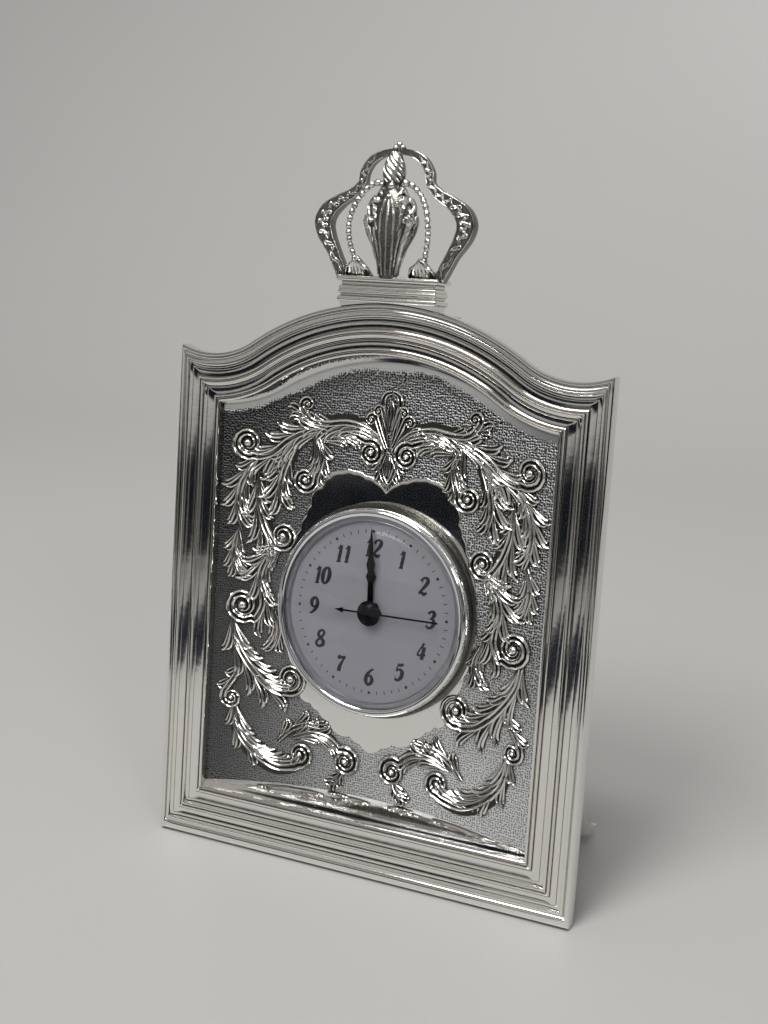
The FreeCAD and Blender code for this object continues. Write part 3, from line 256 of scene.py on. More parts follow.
finishes = {
    "silver": polishedSilver(),
    "relief": agedSilver("reliefSilver", 0.0014, 0.48, 0.98),
    "crown": agedSilver("crownSilver", 0.0018, 0.42, 0.98, 0.5),
    # Darker silver: patina on the crown's arches and leaf, painted shade on the seat collar
    "patinaAndShade": agedSilver("patinaAndShadeSilver", 0.0018, 0.35, 1.0, 0.6, (0.26, 0.25, 0.22)),
    # Painted shade: dark silver for the pads under the sprays, standing for the shade round the leaf
    # strands
    "padShade": plainFinish("padShadeSilver", (0.06, 0.057, 0.05), 0.34, metallic=1.0),
    "ground": stippledSilver(),
    "wood": darkWood(),
    "bezel": plainFinish("bezelChrome", (0.80, 0.80, 0.82), 0.03, 1.0, grain=0.1),
    "glass": crystalGlass(),
    "dial": dialPaint(),
    "ink": plainFinish("printedBlack", (0.006, 0.006, 0.008), 0.4, grain=0.1),
    "hand": plainFinish("handBlack", (0.002, 0.002, 0.003), 0.2, grain=0.1, specular=0.1),
    "steel": plainFinish("zincSteel", (0.60, 0.59, 0.56), 0.26, 1.0),
    "case": plainFinish("pressedSteel", (0.50, 0.50, 0.51), 0.34, 1.0, size=0.25),
    "rubber": plainFinish("gripRubber", (0.020, 0.020, 0.021), 0.72, size=1.5, depth=0.0001),
    "brass": plainFinish("plainBrass", (0.72, 0.50, 0.22), 0.25, 1.0),
    "plastic": plainFinish("mouldedBlack", (0.018, 0.018, 0.020), 0.45, size=2.0, depth=0.00006),
    "gear": plainFinish("whiteAcetal", (0.74, 0.72, 0.66), 0.35, coat=0.2),
    "iron": plainFinish("softIron", (0.33, 0.33, 0.35), 0.4, 1.0),
    "copper": plainFinish("copperWire", (0.70, 0.27, 0.12), 0.3, 1.0, size=3.0),
    "green": plainFinish("circuitGreen", (0.02, 0.16, 0.07), 0.3, coat=0.5),
    "nickel": plainFinish("nickel", (0.66, 0.65, 0.62), 0.2, 1.0),
}
slotFinish = {
    "silver": "crown", "wood": "wood", "screw_steel": "steel", "bezel_chrome": "bezel",
    "crystal_glass": "glass", "case_steel": "case", "dial_paint": "dial", "grip_rubber": "rubber",
    "hand_black": "hand", "brass": "brass", "movement_plastic": "plastic", "gear_plastic": "gear",
    "stator_iron": "iron", "copper_wire": "copper", "circuit_green": "green",
    "can_metal": "nickel",
}
for part in frame["record"]["subparts"]:
    mesh = frame["nodes"][part["node"]].data
    mesh.materials.clear()
    mesh.materials.append(finishes[slotFinish[part["material_slot"]]])
# Painted shade: the seat collar gets the darker silver because it lies in shade beside the bezel
for name, finish in (("dial_nut", "hand"), ("seat_collar", "patinaAndShade"), ("crown_leaf", "patinaAndShade")):
    frame["nodes"][name].data.materials[0] = finishes[finish]


def freshStart():
    if bpy.context.object and bpy.context.object.mode != "OBJECT":
        bpy.ops.object.mode_set(mode="OBJECT")
    bpy.ops.object.select_all(action="DESELECT")


@contextmanager
def editing():
    # Edit mode with everything selected
    bpy.ops.object.mode_set(mode="EDIT")
    bpy.ops.mesh.select_all(action="SELECT")
    yield
    bpy.ops.object.mode_set(mode="OBJECT")


def complete(piece, name, finish, body="frame", place=leanBack, angle=40,
             replaced=(), outward=True):
    # Names a piece, closes its mesh, leans it into place and lets it ride on its body
    freshStart()
    piece.name = name
    bpy.context.view_layer.objects.active = piece
    piece.select_set(True)
    bpy.ops.object.transform_apply(location=True, rotation=True, scale=True)
    if outward:
        with editing():
            bpy.ops.mesh.remove_doubles(threshold=0.0005)
            bpy.ops.mesh.normals_make_consistent(inside=False)
    piece.data.transform(place)
    piece.data.materials.clear()
    piece.data.materials.append(finishes[finish])
    bpy.ops.object.shade_smooth_by_angle(angle=math.radians(angle))
    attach(piece, body)
    if replaced:
        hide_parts(*replaced)
    print("made", name, len(piece.data.polygons), "faces")


def loopPiece(loops, closed=True):
    # A circle laid on the first loop, then extruded from loop to loop
    freshStart()
    count = len(loops[0])
    bpy.ops.mesh.primitive_circle_add(vertices=count, radius=1)
    piece = bpy.context.object
    for index, loop in enumerate(loops):
        if index:
            bpy.ops.object.mode_set(mode="EDIT")
            bpy.ops.mesh.extrude_edges_move()
            bpy.ops.object.mode_set(mode="OBJECT")
        vertices = piece.data.vertices
        for vertex, spot in zip(list(vertices)[-count:], loop):
            vertex.co = spot
    if closed:
        first = set(range(count)) | set(range(len(vertices) - count, len(vertices)))
        bpy.ops.object.mode_set(mode="EDIT")
        bpy.ops.mesh.select_all(action="DESELECT")
        bpy.ops.mesh.select_mode(type="VERT")
        bpy.ops.object.mode_set(mode="OBJECT")
        for vertex in piece.data.vertices:
            vertex.select = vertex.index in first
        bpy.ops.object.mode_set(mode="EDIT")
        bpy.ops.mesh.select_mode(type="EDGE")
        bpy.ops.mesh.bridge_edge_loops()
        bpy.ops.object.mode_set(mode="OBJECT")
    return piece


# side, bottom and top: widths of the rim's bands from the outside in; slopes: how far the wall
# inside them leans at each; wallFronts: where that wall is cut on its way back
moulding = {"halfWidth": 72.95, "archTop": 180.5, "archRadius": 83.3, "dipX": 62.0,
            "dipHeight": 161.6, "rimHeight": 4.9, "skirtDepth": 5.2, "openingDepth": 11.0,
            "side": (1.9, 5.9, 6.5, 1.1), "bottom": (3.5, 6.0, 6.9, 1.1),
            "top": (2.6, 6.4, 5.5, 1.1), "slopes": (0.4, 6.7, 2.6),
            "wallFronts": (3.0, 0.0, -3.0, -5.2), "backInsets": (13.4, 16.4, 13.6),
            "steps": (40, 20, 32)}
archCentre = moulding["archTop"] - moulding["archRadius"]
dipDrop = moulding["dipHeight"] - archCentre
dipRadius = ((moulding["dipX"] ** 2 + dipDrop ** 2 - moulding["archRadius"] ** 2)
             / (2 * (moulding["archRadius"] - dipDrop)))
dipCentre = moulding["dipHeight"] + dipRadius


def outline(side, bottom, top, front):
    # The frame's outline with its own inset at the sides, bottom and top
    edgeX = moulding["halfWidth"] - side
    radius, dip = moulding["archRadius"] - top, dipRadius + top
    slope = math.atan2(dipCentre - archCentre, moulding["dipX"])
    corner = math.asin((edgeX - moulding["dipX"]) / dip)
    cornerZ = dipCentre - dip * math.cos(corner)
    edgeSteps, dipSteps, archSteps = moulding["steps"]
    spots = []
    for step in range(edgeSteps):
        spots.append((-edgeX + 2 * edgeX * step / edgeSteps, bottom))
    for step in range(edgeSteps):
        spots.append((edgeX, bottom + (cornerZ - bottom) * step / edgeSteps))
    for step in range(dipSteps):
        angle = corner - math.pi / 2 + (slope - math.pi / 2 - corner) * step / dipSteps
        spots.append((moulding["dipX"] + dip * math.cos(angle), dipCentre + dip * math.sin(angle)))
    for step in range(archSteps + 1):
        angle = slope + (math.pi / 2 - slope) * step / archSteps
        spots.append((radius * math.cos(angle), archCentre + radius * math.sin(angle)))
    spots += [(-x, z) for x, z in reversed(spots[2 * edgeSteps:-1])]
    spots += [(-edgeX, cornerZ + (bottom - cornerZ) * step / edgeSteps)
              for step in range(1, edgeSteps)]
    return [(x, -front, z) for x, z in spots]


# Section from the outer edge inwards, band by band: share of its width and of the rim's height
section = [
    [(0.00, 0.30), (0.00, 0.84), (0.05, 0.93), (0.14, 0.98), (0.30, 1.00), (0.62, 0.995),
     (0.74, 0.97), (0.80, 0.90), (0.88, 0.86), (0.97, 0.86)],
    [(0.02, 0.93), (0.06, 0.985), (0.12, 1.00), (0.17, 0.985), (0.20, 0.93), (0.23, 0.84),
     (0.27, 0.825), (0.41, 0.815), (0.43, 0.77), (0.45, 0.77), (0.47, 0.825), (0.56, 0.805),
     (0.68, 0.79), (0.775, 0.785), (0.80, 0.72), (0.82, 0.72), (0.845, 0.92), (0.875, 0.97),
     (0.93, 0.97), (0.955, 0.92), (0.97, 0.84)],
    [(0.00, 0.84), (0.02, 0.94), (0.05, 0.985), (0.10, 0.995), (0.15, 0.97), (0.18, 0.90),
     (0.20, 0.82), (0.24, 0.80), (0.36, 0.79), (0.38, 0.745), (0.40, 0.745), (0.42, 0.80),
     (0.52, 0.78), (0.66, 0.76), (0.765, 0.75), (0.79, 0.68), (0.81, 0.68), (0.835, 0.91),
     (0.86, 0.97), (0.92, 0.97), (0.95, 0.91), (0.96, 0.83)],
    [(0.00, 0.83), (0.10, 0.93), (0.30, 0.99), (0.60, 0.985), (0.90, 0.94), (1.00, 0.88)],
]


def makeMoulding():
    loops = [outline(0, 0, 0, 0)]
    for band, steps in enumerate(section):
        for share, height in steps:
            insets = [sum(moulding[way][:band]) + share * moulding[way][band]
                      for way in ("side", "bottom", "top")]
            loops.append(outline(*insets, height * moulding["rimHeight"]))
    insets = [sum(moulding[way]) for way in ("side", "bottom", "top")]
    for front in moulding["wallFronts"]:
        share = (moulding["rimHeight"] - front) / moulding["openingDepth"]
        loops.append(outline(*[inset + share * slope for inset, slope
                               in zip(insets, moulding["slopes"])], front))
    loops.append(outline(*moulding["backInsets"], -moulding["skirtDepth"]))
    loops.append(outline(*moulding["backInsets"], 0))
    complete(loopPiece(loops), "moulding", "silver", angle=32, replaced=["frame_moulding"])


plaque = {"padShade": 4.0, "rise": 6.0, "span": 57.35, "thickness": 0.8, "hole": 31.0,
          "insets": (14.6, 17.2, 14.6), "rows": 26}
plaqueRadius = (plaque["span"] ** 2 + plaque["rise"] ** 2) / (2 * plaque["rise"])


def plaqueFront(x):
    return -plaque["padShade"] + plaqueRadius - math.sqrt(plaqueRadius ** 2 - x * x)


def makePlaque():
    # Sheet from the moulding's inner wall to the bore, bent to the panel's curve
    rim = outline(*plaque["insets"], 0)
    loops = []
    for row in range(plaque["rows"] + 1):
        share = row / plaque["rows"]
        loop = []
        for x, _, z in rim:
            angle = math.atan2(z - stance["clockHeight"], x)
            holeX = plaque["hole"] * math.cos(angle)
            holeZ = stance["clockHeight"] + plaque["hole"] * math.sin(angle)
            nowX, nowZ = x + (holeX - x) * share, z + (holeZ - z) * share
            loop.append((nowX, -plaqueFront(nowX), nowZ))
        loops.append(loop)
    piece = loopPiece(loops, closed=False)
    with editing():
        bpy.ops.mesh.normals_make_consistent(inside=False)
    if piece.data.polygons[0].normal.y > 0:
        with editing():
            bpy.ops.mesh.flip_normals()
    wall = piece.modifiers.new("wall", "SOLIDIFY")
    wall.thickness, wall.offset = plaque["thickness"], -1
    bpy.ops.object.modifier_apply(modifier="wall")
    complete(piece, "plaque_sheet", "ground", replaced=["embossed_plaque"])


# Polished shield round the clock. rolled: step inwards and share of the height at its edge;
# half: angle from twelve o'clock and distance from the clock's centre
shield = {"proud": 0.22, "bow": 0.45, "steps": 6, "underBezel": 0.4, "sunk": 0.3,
          "rolled": ((-0.02, -0.1), (0.0, 0.55), (0.18, 0.9), (0.5, 1.0), (1.6, 1.0)), "half": [
    (0, 37.6), (5, 40.8), (10, 42.6), (15, 44.6), (20, 45.6), (26, 45.8), (31, 43.6),
    (36, 43.2), (40, 40.2), (45, 38.6), (52, 36.8), (62, 35.2), (76, 34.2), (90, 33.9),
    (104, 34.2), (118, 35.2), (128, 36.8), (136, 38.8), (142, 41.6), (147, 40.6), (152, 41.0),
    (158, 42.2), (164, 44.2), (170, 43.4), (175, 44.8), (180, 47.0)]}


def shieldLoop(rim, reach, lift):
    # A loop whose distance from the clock's centre is worked out from the rim's
    loop = []
    for angle, distance in rim:
        a = math.radians(angle)
        x, z = reach(distance) * math.sin(a), reach(distance) * math.cos(a)
        loop.append((x, -(plaqueFront(x) + lift * shield["proud"]), stance["clockHeight"] + z))
    return loop


def makeShield():
    half = shield["half"]
    rim = half + [(360 - angle, distance) for angle, distance in reversed(half[1:-1])]
    fine = []
    for index, (angle, distance) in enumerate(rim):
        nextAngle, nextDistance = rim[(index + 1) % len(rim)]
        nextAngle += 360 if nextAngle < angle else 0
        for step in range(shield["steps"]):
            share = step / shield["steps"]
            bow = shield["bow"] * math.sin(math.pi * share)
            fine.append((angle + (nextAngle - angle) * share,
                         distance + (nextDistance - distance) * share + bow))
    loops = [shieldLoop(fine, lambda distance: distance - inward, lift)
             for inward, lift in shield["rolled"]]
    flat, inner = shield["rolled"][-1][0], plaque["hole"] + shield["underBezel"]
    for share in (0.35, 0.7, 1.0):
        loops.append(shieldLoop(
            fine, lambda distance: (distance - flat) + (inner - distance + flat) * share, 1))
    loops.append([(x, y + shield["sunk"], z) for x, y, z in loops[-1]])
    complete(loopPiece(loops), "polished_shield", "silver", angle=50)


def smoothLine(points, steps):
    # Catmull-Rom through the given points
    points = [Vector(spot) for spot in points]
    result = []
    for index in range(len(points) - 1):
        before = points[max(index - 1, 0)]
        start, end = points[index], points[index + 1]
        after = points[min(index + 2, len(points) - 1)]
        for step in range(steps):
            t = step / steps
            result.append(0.5 * ((2 * start) + (end - before) * t
                                 + (2 * before - 5 * start + 4 * end - after) * t * t
                                 + (3 * start - before - 3 * end + after) * t ** 3))
    result.append(points[-1])
    return result


def volute(centre, radius, start, turns, way):
    # Spiral inwards; start in degrees from +x, way +1 anticlockwise
    spots = []
    count = int(turns * relief["turnSteps"])
    for step in range(count + 1):
        share = step / count
        angle = math.radians(start) + way * share * turns * 2 * math.pi
        reach = radius * (1 - relief["closing"] * share)
        spots.append((centre[0] + reach * math.cos(angle), centre[1] + reach * math.sin(angle)))
    return spots


# Right half of the chased ornament, in millimetres on the panel.
# line: the stem; curl: volute centre, radius, start angle, turns, way;
# lobes: (side, from, to, count, length, width) with side +1 left of the stem's run
sprays = [
    {"line": [(2.2, 136.5), (6.5, 140.8), (14, 142.8), (22, 141.9), (27.5, 142.6), (30.5, 146)],
     "curl": ((28.9, 147.6), 2.1, -30, 0.9, 1), "width": 0.95,
     "lobes": [(-1, 0.10, 0.72, 7, 6.2, 1.0), (-1, 0.80, 1.0, 3, 4.2, 0.9),
               (1, 0.55, 0.8, 3, 3.2, 0.8)]},
    {"line": [(22, 137.5), (16, 139.4), (10.5, 138.6)],
     "curl": ((6.2, 134.2), 3.9, 62, 1.35, 1), "width": 1.0,
     "lobes": [(1, 0.0, 0.8, 5, 5.2, 1.0)]},
    {"line": [(20, 139.2), (27, 139.2), (34, 136), (40, 131), (45, 129.3)],
     "curl": ((48.4, 133.6), 4.7, -122, 1.3, 1), "width": 1.1,
     "lobes": [(1, 0.12, 0.8, 6, 5.4, 1.1), (-1, 0.2, 0.95, 7, 6.6, 1.1)]},
    {"line": [(44, 130), (47.5, 125), (50.2, 119), (50.6, 112), (48.5, 105)], "width": 0.9,
     "lobes": [(1, 0.05, 0.9, 6, 5.0, 1.0), (-1, 0.1, 0.95, 6, 5.0, 1.0)]},
    {"line": [(24.5, 137.5), (22.6, 131.5), (24.3, 125)],
     "curl": ((28.2, 123.4), 3.8, 170, 1.3, 1), "width": 1.0,
     "lobes": [(-1, 0.2, 1.0, 4, 3.6, 0.9), (1, 0.05, 0.7, 4, 6.4, 1.0)]},
    {"line": [(31, 136), (34.5, 129), (36.5, 121), (35.2, 114)], "width": 0.9,
     "lobes": [(1, 0.1, 0.95, 6, 6.0, 1.1), (-1, 0.35, 0.95, 4, 4.4, 0.9)]},
    {"line": [(44, 122), (43.5, 114), (41, 106.5), (37.5, 101.2)],
     "curl": ((34.8, 104.4), 4.2, -55, 1.3, -1), "width": 1.0,
     "lobes": [(1, 0.15, 1.0, 6, 6.4, 1.1), (-1, 0.05, 0.5, 3, 4.0, 0.9)]},
    {"line": [(36, 100.5), (40, 96), (42, 90), (40.5, 83.5)], "width": 0.9,
     "lobes": [(1, 0.0, 0.85, 6, 6.0, 1.1), (-1, 0.0, 0.9, 5, 4.6, 1.0)]},
    {"line": [(50.5, 104), (51.4, 97), (49.6, 90)], "width": 0.8,
     "lobes": [(1, 0.1, 0.9, 4, 3.6, 0.9), (-1, 0.1, 0.9, 4, 4.6, 0.9)]},
    {"line": [(41.5, 88.5), (40.5, 81), (43, 75.6)],
     "curl": ((47.4, 80.2), 5.2, -130, 1.35, 1), "width": 1.1,
     "lobes": [(-1, 0.1, 1.0, 5, 5.0, 1.0)]},
    {"line": [(50.5, 75), (49, 68), (44, 60.5), (37.5, 54.4), (32, 52.6)],
     "curl": ((29.4, 57.6), 4.9, -68, 1.35, -1), "width": 1.1,
     "lobes": [(1, 0.1, 0.95, 8, 6.0, 1.1), (-1, 0.08, 0.85, 8, 6.2, 1.1)]},
    {"line": [(36.5, 79), (34.4, 73), (36.0, 66.5)], "width": 0.8,
     "lobes": [(1, 0.1, 0.9, 4, 4.6, 1.0), (-1, 0.2, 0.9, 3, 3.2, 0.8)]},
    {"line": [(46.5, 60), (49.6, 55), (52.4, 50.5)],
     "curl": ((49.8, 48.6), 3.0, 30, 1.2, -1), "width": 0.9,
     "lobes": [(1, 0.0, 0.8, 3, 3.4, 0.8)]},
    {"line": [(48.5, 45.5), (46.5, 37.5), (40.5, 31), (33, 27.6), (26, 28.6)],
     "curl": ((24.6, 33.0), 3.6, -85, 1.2, -1), "width": 1.1,
     "lobes": [(-1, 0.05, 0.9, 9, 7.0, 1.15), (1, 0.0, 0.55, 5, 4.0, 1.0)]},
    {"line": [(27, 38.5), (21.5, 40.6), (15.5, 40.2), (11.5, 37.6)],
     "curl": ((8.4, 33.4), 4.3, 55, 1.35, 1), "width": 1.05,
     "lobes": [(-1, 0.05, 0.6, 4, 3.8, 0.9), (1, 0.1, 1.0, 5, 4.6, 1.0)]},
    {"line": [(9.5, 29.4), (11.0, 27.0), (13.0, 25.2)], "width": 0.9,
     "lobes": [(1, 0.0, 0.8, 2, 2.4, 0.8), (-1, 0.0, 0.8, 2, 2.4, 0.8)]},
    {"line": [(33, 36), (28, 41), (22, 43.6), (18.5, 42.6)], "width": 0.8,
     "lobes": [(-1, 0.1, 0.95, 5, 3.8, 0.9)]},
    # Half of the palmette on the middle line
    {"line": [(0.9, 136), (3.2, 141), (5.0, 145.5)], "curl": ((6.6, 144.6), 1.7, 150, 0.9, -1),
     "width": 0.75},
    {"line": [(0.8, 137), (2.0, 142.5), (2.9, 148.0)], "curl": ((4.3, 147.4), 1.5, 150, 0.9, -1),
     "width": 0.7},
    {"line": [(1.4, 135.5), (5.2, 139.5), (8.6, 142.6)], "curl": ((9.6, 141.2), 1.6, 130, 0.9, -1),
     "width": 0.75},
    {"line": [(0.9, 141.5), (2.2, 146.0), (3.1, 149.8), (2.3, 152.6), (0.0, 153.6)], "width": 0.8},
    {"line": [(0.0, 143.0), (0.5, 147.0), (0.0, 150.6)], "width": 0.75},
    # Half of the drop under it
    {"line": [(1.2, 134.0), (2.4, 130.8), (1.6, 127.2), (0.0, 124.6)], "width": 0.75,
     "lobes": [(1, 0.2, 0.6, 2, 2.8, 0.8)]},
    {"line": [(0.0, 133.5), (0.35, 130.5), (0.0, 127.2)], "width": 0.7},
]
relief = {"height": 1.25, "count": 0.66, "bold": 0.72, "curl": 1.25, "apart": 1.2, "size": 1.32,
          "stray": 0.15, "stemEdge": 0.6, "stemRadius": 0.5, "ball": 0.30, "rounding": 0.85,
          "lift": 0.12, "turnSteps": 14, "closing": 0.62}
# Course of a leaf strand: shares of its length along the stem and outwards
lobeShares = ((-0.85, 0.02), (-0.35, 0.10), (0.12, 0.22), (0.5, 0.36), (0.80, 0.56), (0.88, 0.80))
# The three strands of a lobe: share of its length, share of its width, side
strandShares = ((1.0, 1.0, 0.0), (0.82, 0.85, -1.0), (0.86, 0.9, 1.0))
fanShares = (0.1, 0.45, 0.8, 1.0, 0.95, 0.6)
swellShares = (0.25, 0.34, 0.42, 0.5, 0.56, 0.62, 0.68, 0.73, 0.78, 0.83, 0.88, 0.93, 0.96,
               0.92, 0.75, 0.45)
padLook = {"reach": 0.5, "least": 1.4, "flat": 0.10, "lift": 0.02}


def lobeLine(start, along, side, length):
    # A leaf strand that runs with the stem first and then swings out to a round tip
    out = Vector((-along.y, along.x)) * side
    return [start + along * a * length + out * b * length for a, b in lobeShares]


def sideways(line, reaches):
    # The line moved to its left by a reach of its own at each point
    moved = []
    for index, (spot, reach) in enumerate(zip(line, reaches)):
        run = (line[min(index + 1, len(line) - 1)] - line[max(index - 1, 0)]).normalized()
        moved.append(spot + Vector((-run.y, run.x)) * reach)
    return moved


def sprayRidges(spray):
    # All ridges of a spray: list of (points, radii)
    curl = spray.get("curl")
    body = smoothLine(spray["line"], 5)
    full = body + [Vector(spot) for spot in volute(*curl)] if curl else body
    count = len(full)
    taper = [spray["width"] * relief["curl"]
             * (0.4 + 0.65 * math.sin(math.pi * min(1, 0.12 + 0.8 * i / count)))
             for i in range(count)]
    ridges = []
    for edge in (-relief["stemEdge"], relief["stemEdge"]):
        ridges.append((sideways(full, [edge * w for w in taper]),
                       [w * relief["stemRadius"] for w in taper]))
    if curl:
        ball = curl[1] * relief["ball"]
        ridges.append(([Vector(curl[0]) + Vector((ball * d, 0)) for d in (-0.9, -0.6, 0, 0.6, 0.9)],
                       [ball * 0.4, ball * 0.8, ball, ball * 0.8, ball * 0.4]))
    for side, low, high, number, length, lobeWidth in spray.get("lobes", ()):
        number = max(2, round(number * relief["count"]))
        lobeWidth *= relief["bold"]
        for index in range(number):
            share = low + (high - low) * (index + 0.5) / number
            spot = int(share * (len(body) - 1))
            along = (body[min(spot + 1, len(body) - 1)] - body[max(spot - 1, 0)]).normalized()
            size = length * (0.78 + 0.32 * math.sin(math.pi * (index + 0.5) / number))
            size *= relief["size"] + relief["stray"] * (random.random() - 0.5)
            for part, thick, shift in strandShares:
                line = lobeLine(body[spot] + along * (1 - part) * 1.4, along, side, size * part)
                line = sideways(line, [shift * relief["apart"] * fan for fan in fanShares])
                ridges.append((smoothLine(line, 3), [lobeWidth * thick * w for w in swellShares]))
    return ridges


def onPlane(spot):
    return spot[0], 0, spot[1]


def ridgePiece(ridges, lift=tuple, segments=1):
    # Round ridges through the given points, with a thickness of their own along them
    freshStart()
    bpy.ops.curve.primitive_bezier_curve_add()
    piece = bpy.context.object
    curve = piece.data
    curve.splines.clear()
    curve.dimensions = "3D"
    curve.bevel_depth = 1.0
    curve.bevel_resolution = segments
    curve.use_fill_caps = True
    for points, radii in ridges:
        spline = curve.splines.new("POLY")
        spline.points.add(len(points) - 1)
        for knot, spot, radius in zip(spline.points, points, radii):
            x, front, z = lift(spot)
            knot.co, knot.radius = (x, -front, z, 1), radius
    bpy.ops.object.convert(target="MESH")
    return bpy.context.object


def makePads():
    # Low swelling under each spray, so that the strands grow out of one leaf body; its dark finish is
    # painted shade that outlines the strands
    lines = []
    for spray in sprays:
        body = smoothLine(spray["line"], 4)
        reach = max([lobe[4] for lobe in spray.get("lobes", ())], default=padLook["least"])
        reach *= padLook["reach"]
        radii = [reach * (0.55 + 0.45 * math.sin(math.pi * i / len(body))) for i in range(len(body))]
        for mirror in (1, -1):
            lines.append(([Vector((spot.x * mirror, spot.y)) for spot in body], radii))
    piece = ridgePiece(lines, onPlane)
    for vertex in piece.data.vertices:
        swell = padLook["lift"] - vertex.co.y * padLook["flat"]
        vertex.co.y = -(plaqueFront(vertex.co.x) + swell)
    complete(piece, "ornament_pads", "padShade", angle=60)


def makeRelief():
    flat = []
    for spray in sprays:
        flat += sprayRidges(spray)
    right = ridgePiece(flat, onPlane)
    bpy.ops.object.duplicate()
    left = bpy.context.object
    for vertex in left.data.vertices:
        vertex.co.x = -vertex.co.x
    for piece, name in ((right, "chased_ornament_right"), (left, "chased_ornament_left")):
        for vertex in piece.data.vertices:
            flatDepth = -vertex.co.y
            sign = 1 if flatDepth > 0 else -1
            depth = sign * abs(flatDepth) ** relief["rounding"] * relief["height"]
            vertex.co.y = -(plaqueFront(vertex.co.x) + relief["lift"] + depth)
        complete(piece, name, "relief", angle=60)


makeMoulding()
makePlaque()
makeShield()
makePads()
makeRelief()


def spinPiece(profile, steps=144):
    # A closed section (radius, front) spun about the clock's axis
    freshStart()
    bpy.ops.mesh.primitive_circle_add(vertices=len(profile), radius=1)
    piece = bpy.context.object
    for vertex, (radius, front) in zip(piece.data.vertices, profile):
        vertex.co = (radius, -front, 0)
    with editing():
        bpy.ops.mesh.spin(steps=steps, angle=2 * math.pi, center=(0, 0, 0), axis=(0, 1, 0))
    return piece


bezelLook = {"radius": 33.0, "back": -1.4, "front": 3.9, "lip": 2.4, "wall": 1.35, "edge": 0.15,
             "shoulder": 2.2, "roll": (1.25, 1.7), "seat": 0.45,
             "lipSteps": ((0.6, 0.08), (0.25, 0.2), (0.02, 0.36), (0, 0.44))}
crystalLook = {"rise": 3.0, "thickness": 0.8, "bottom": 2.1, "gap": 0.05, "flange": 0.35,
               "inner": 28.0}
dialLook = {"front": 1.2, "radius": 28.95, "thickness": 0.4, "hole": 2.65, "track": 25.73,
            "edge": 0.05, "ringInner": 28.6, "ringFront": 2.05, "ringFoot": 1.5}


def makeBezel():
    outer, back, front = bezelLook["radius"], bezelLook["back"], bezelLook["front"]
    inner, lip = outer - bezelLook["wall"], outer - bezelLook["lip"]
    edge, (rollIn, rollUp) = bezelLook["edge"], bezelLook["roll"]
    profile = [(inner, back), (outer - edge, back), (outer, back + edge), (outer, 0.6),
               (outer, bezelLook["shoulder"])]
    for step in range(1, 9):
        angle = math.pi / 2 * step / 8
        profile.append((outer - rollIn * (1 - math.cos(angle)),
                        front - rollUp + rollUp * math.sin(angle)))
    profile += [(lip + out, front - down) for out, down in bezelLook["lipSteps"]]
    profile.append((inner, front - bezelLook["seat"]))
    complete(spinPiece(profile), "polished_bezel", "bezel", "clock", inClock,
             angle=40, replaced=["clock_bezel"])


def makeCrystal():
    lip = bezelLook["radius"] - bezelLook["lip"] - crystalLook["gap"]
    top, bottom = bezelLook["front"] - bezelLook["seat"], crystalLook["bottom"]
    rise, wall = crystalLook["rise"], crystalLook["thickness"]
    big = (lip ** 2 + rise ** 2) / (2 * rise)
    edge = bezelLook["radius"] - bezelLook["wall"] - crystalLook["flange"]
    inner = crystalLook["inner"]

    def dome(radius, drop):
        return top + rise - drop - big + math.sqrt(big ** 2 - radius ** 2)

    profile = [(lip * step / 14, dome(lip * step / 14, 0)) for step in range(15)]
    profile += [(edge, top), (edge, bottom), (inner, bottom)]
    profile += [(inner * step / 12, max(dome(inner * step / 12, wall), bottom))
                for step in range(11, -1, -1)]
    complete(spinPiece(profile, 96), "domed_crystal", "glass", "clock", inClock,
             angle=50, replaced=["clock_crystal"])


def makeDialPlate():
    front, outer, hole = dialLook["front"], dialLook["radius"], dialLook["hole"]
    back, edge, inner = front - dialLook["thickness"], dialLook["edge"], dialLook["ringInner"]
    profile = [(hole, back), (outer, back), (outer, front - edge), (outer - edge, front),
               (14, front), (hole + edge, front), (hole, front - edge)]
    complete(spinPiece(profile, 96), "dial_plate", "dial", "clock", inClock,
             replaced=["clock_dial"])
    # Sloping inner ring between the crystal's edge and the dial
    ring = [(inner, front + 0.02), (outer, front + 0.02), (outer, dialLook["ringFront"]),
            (outer - edge, dialLook["ringFront"] + 0.03), (inner, dialLook["ringFoot"])]
    complete(spinPiece(ring, 96), "dial_ring", "case", "clock", inClock)


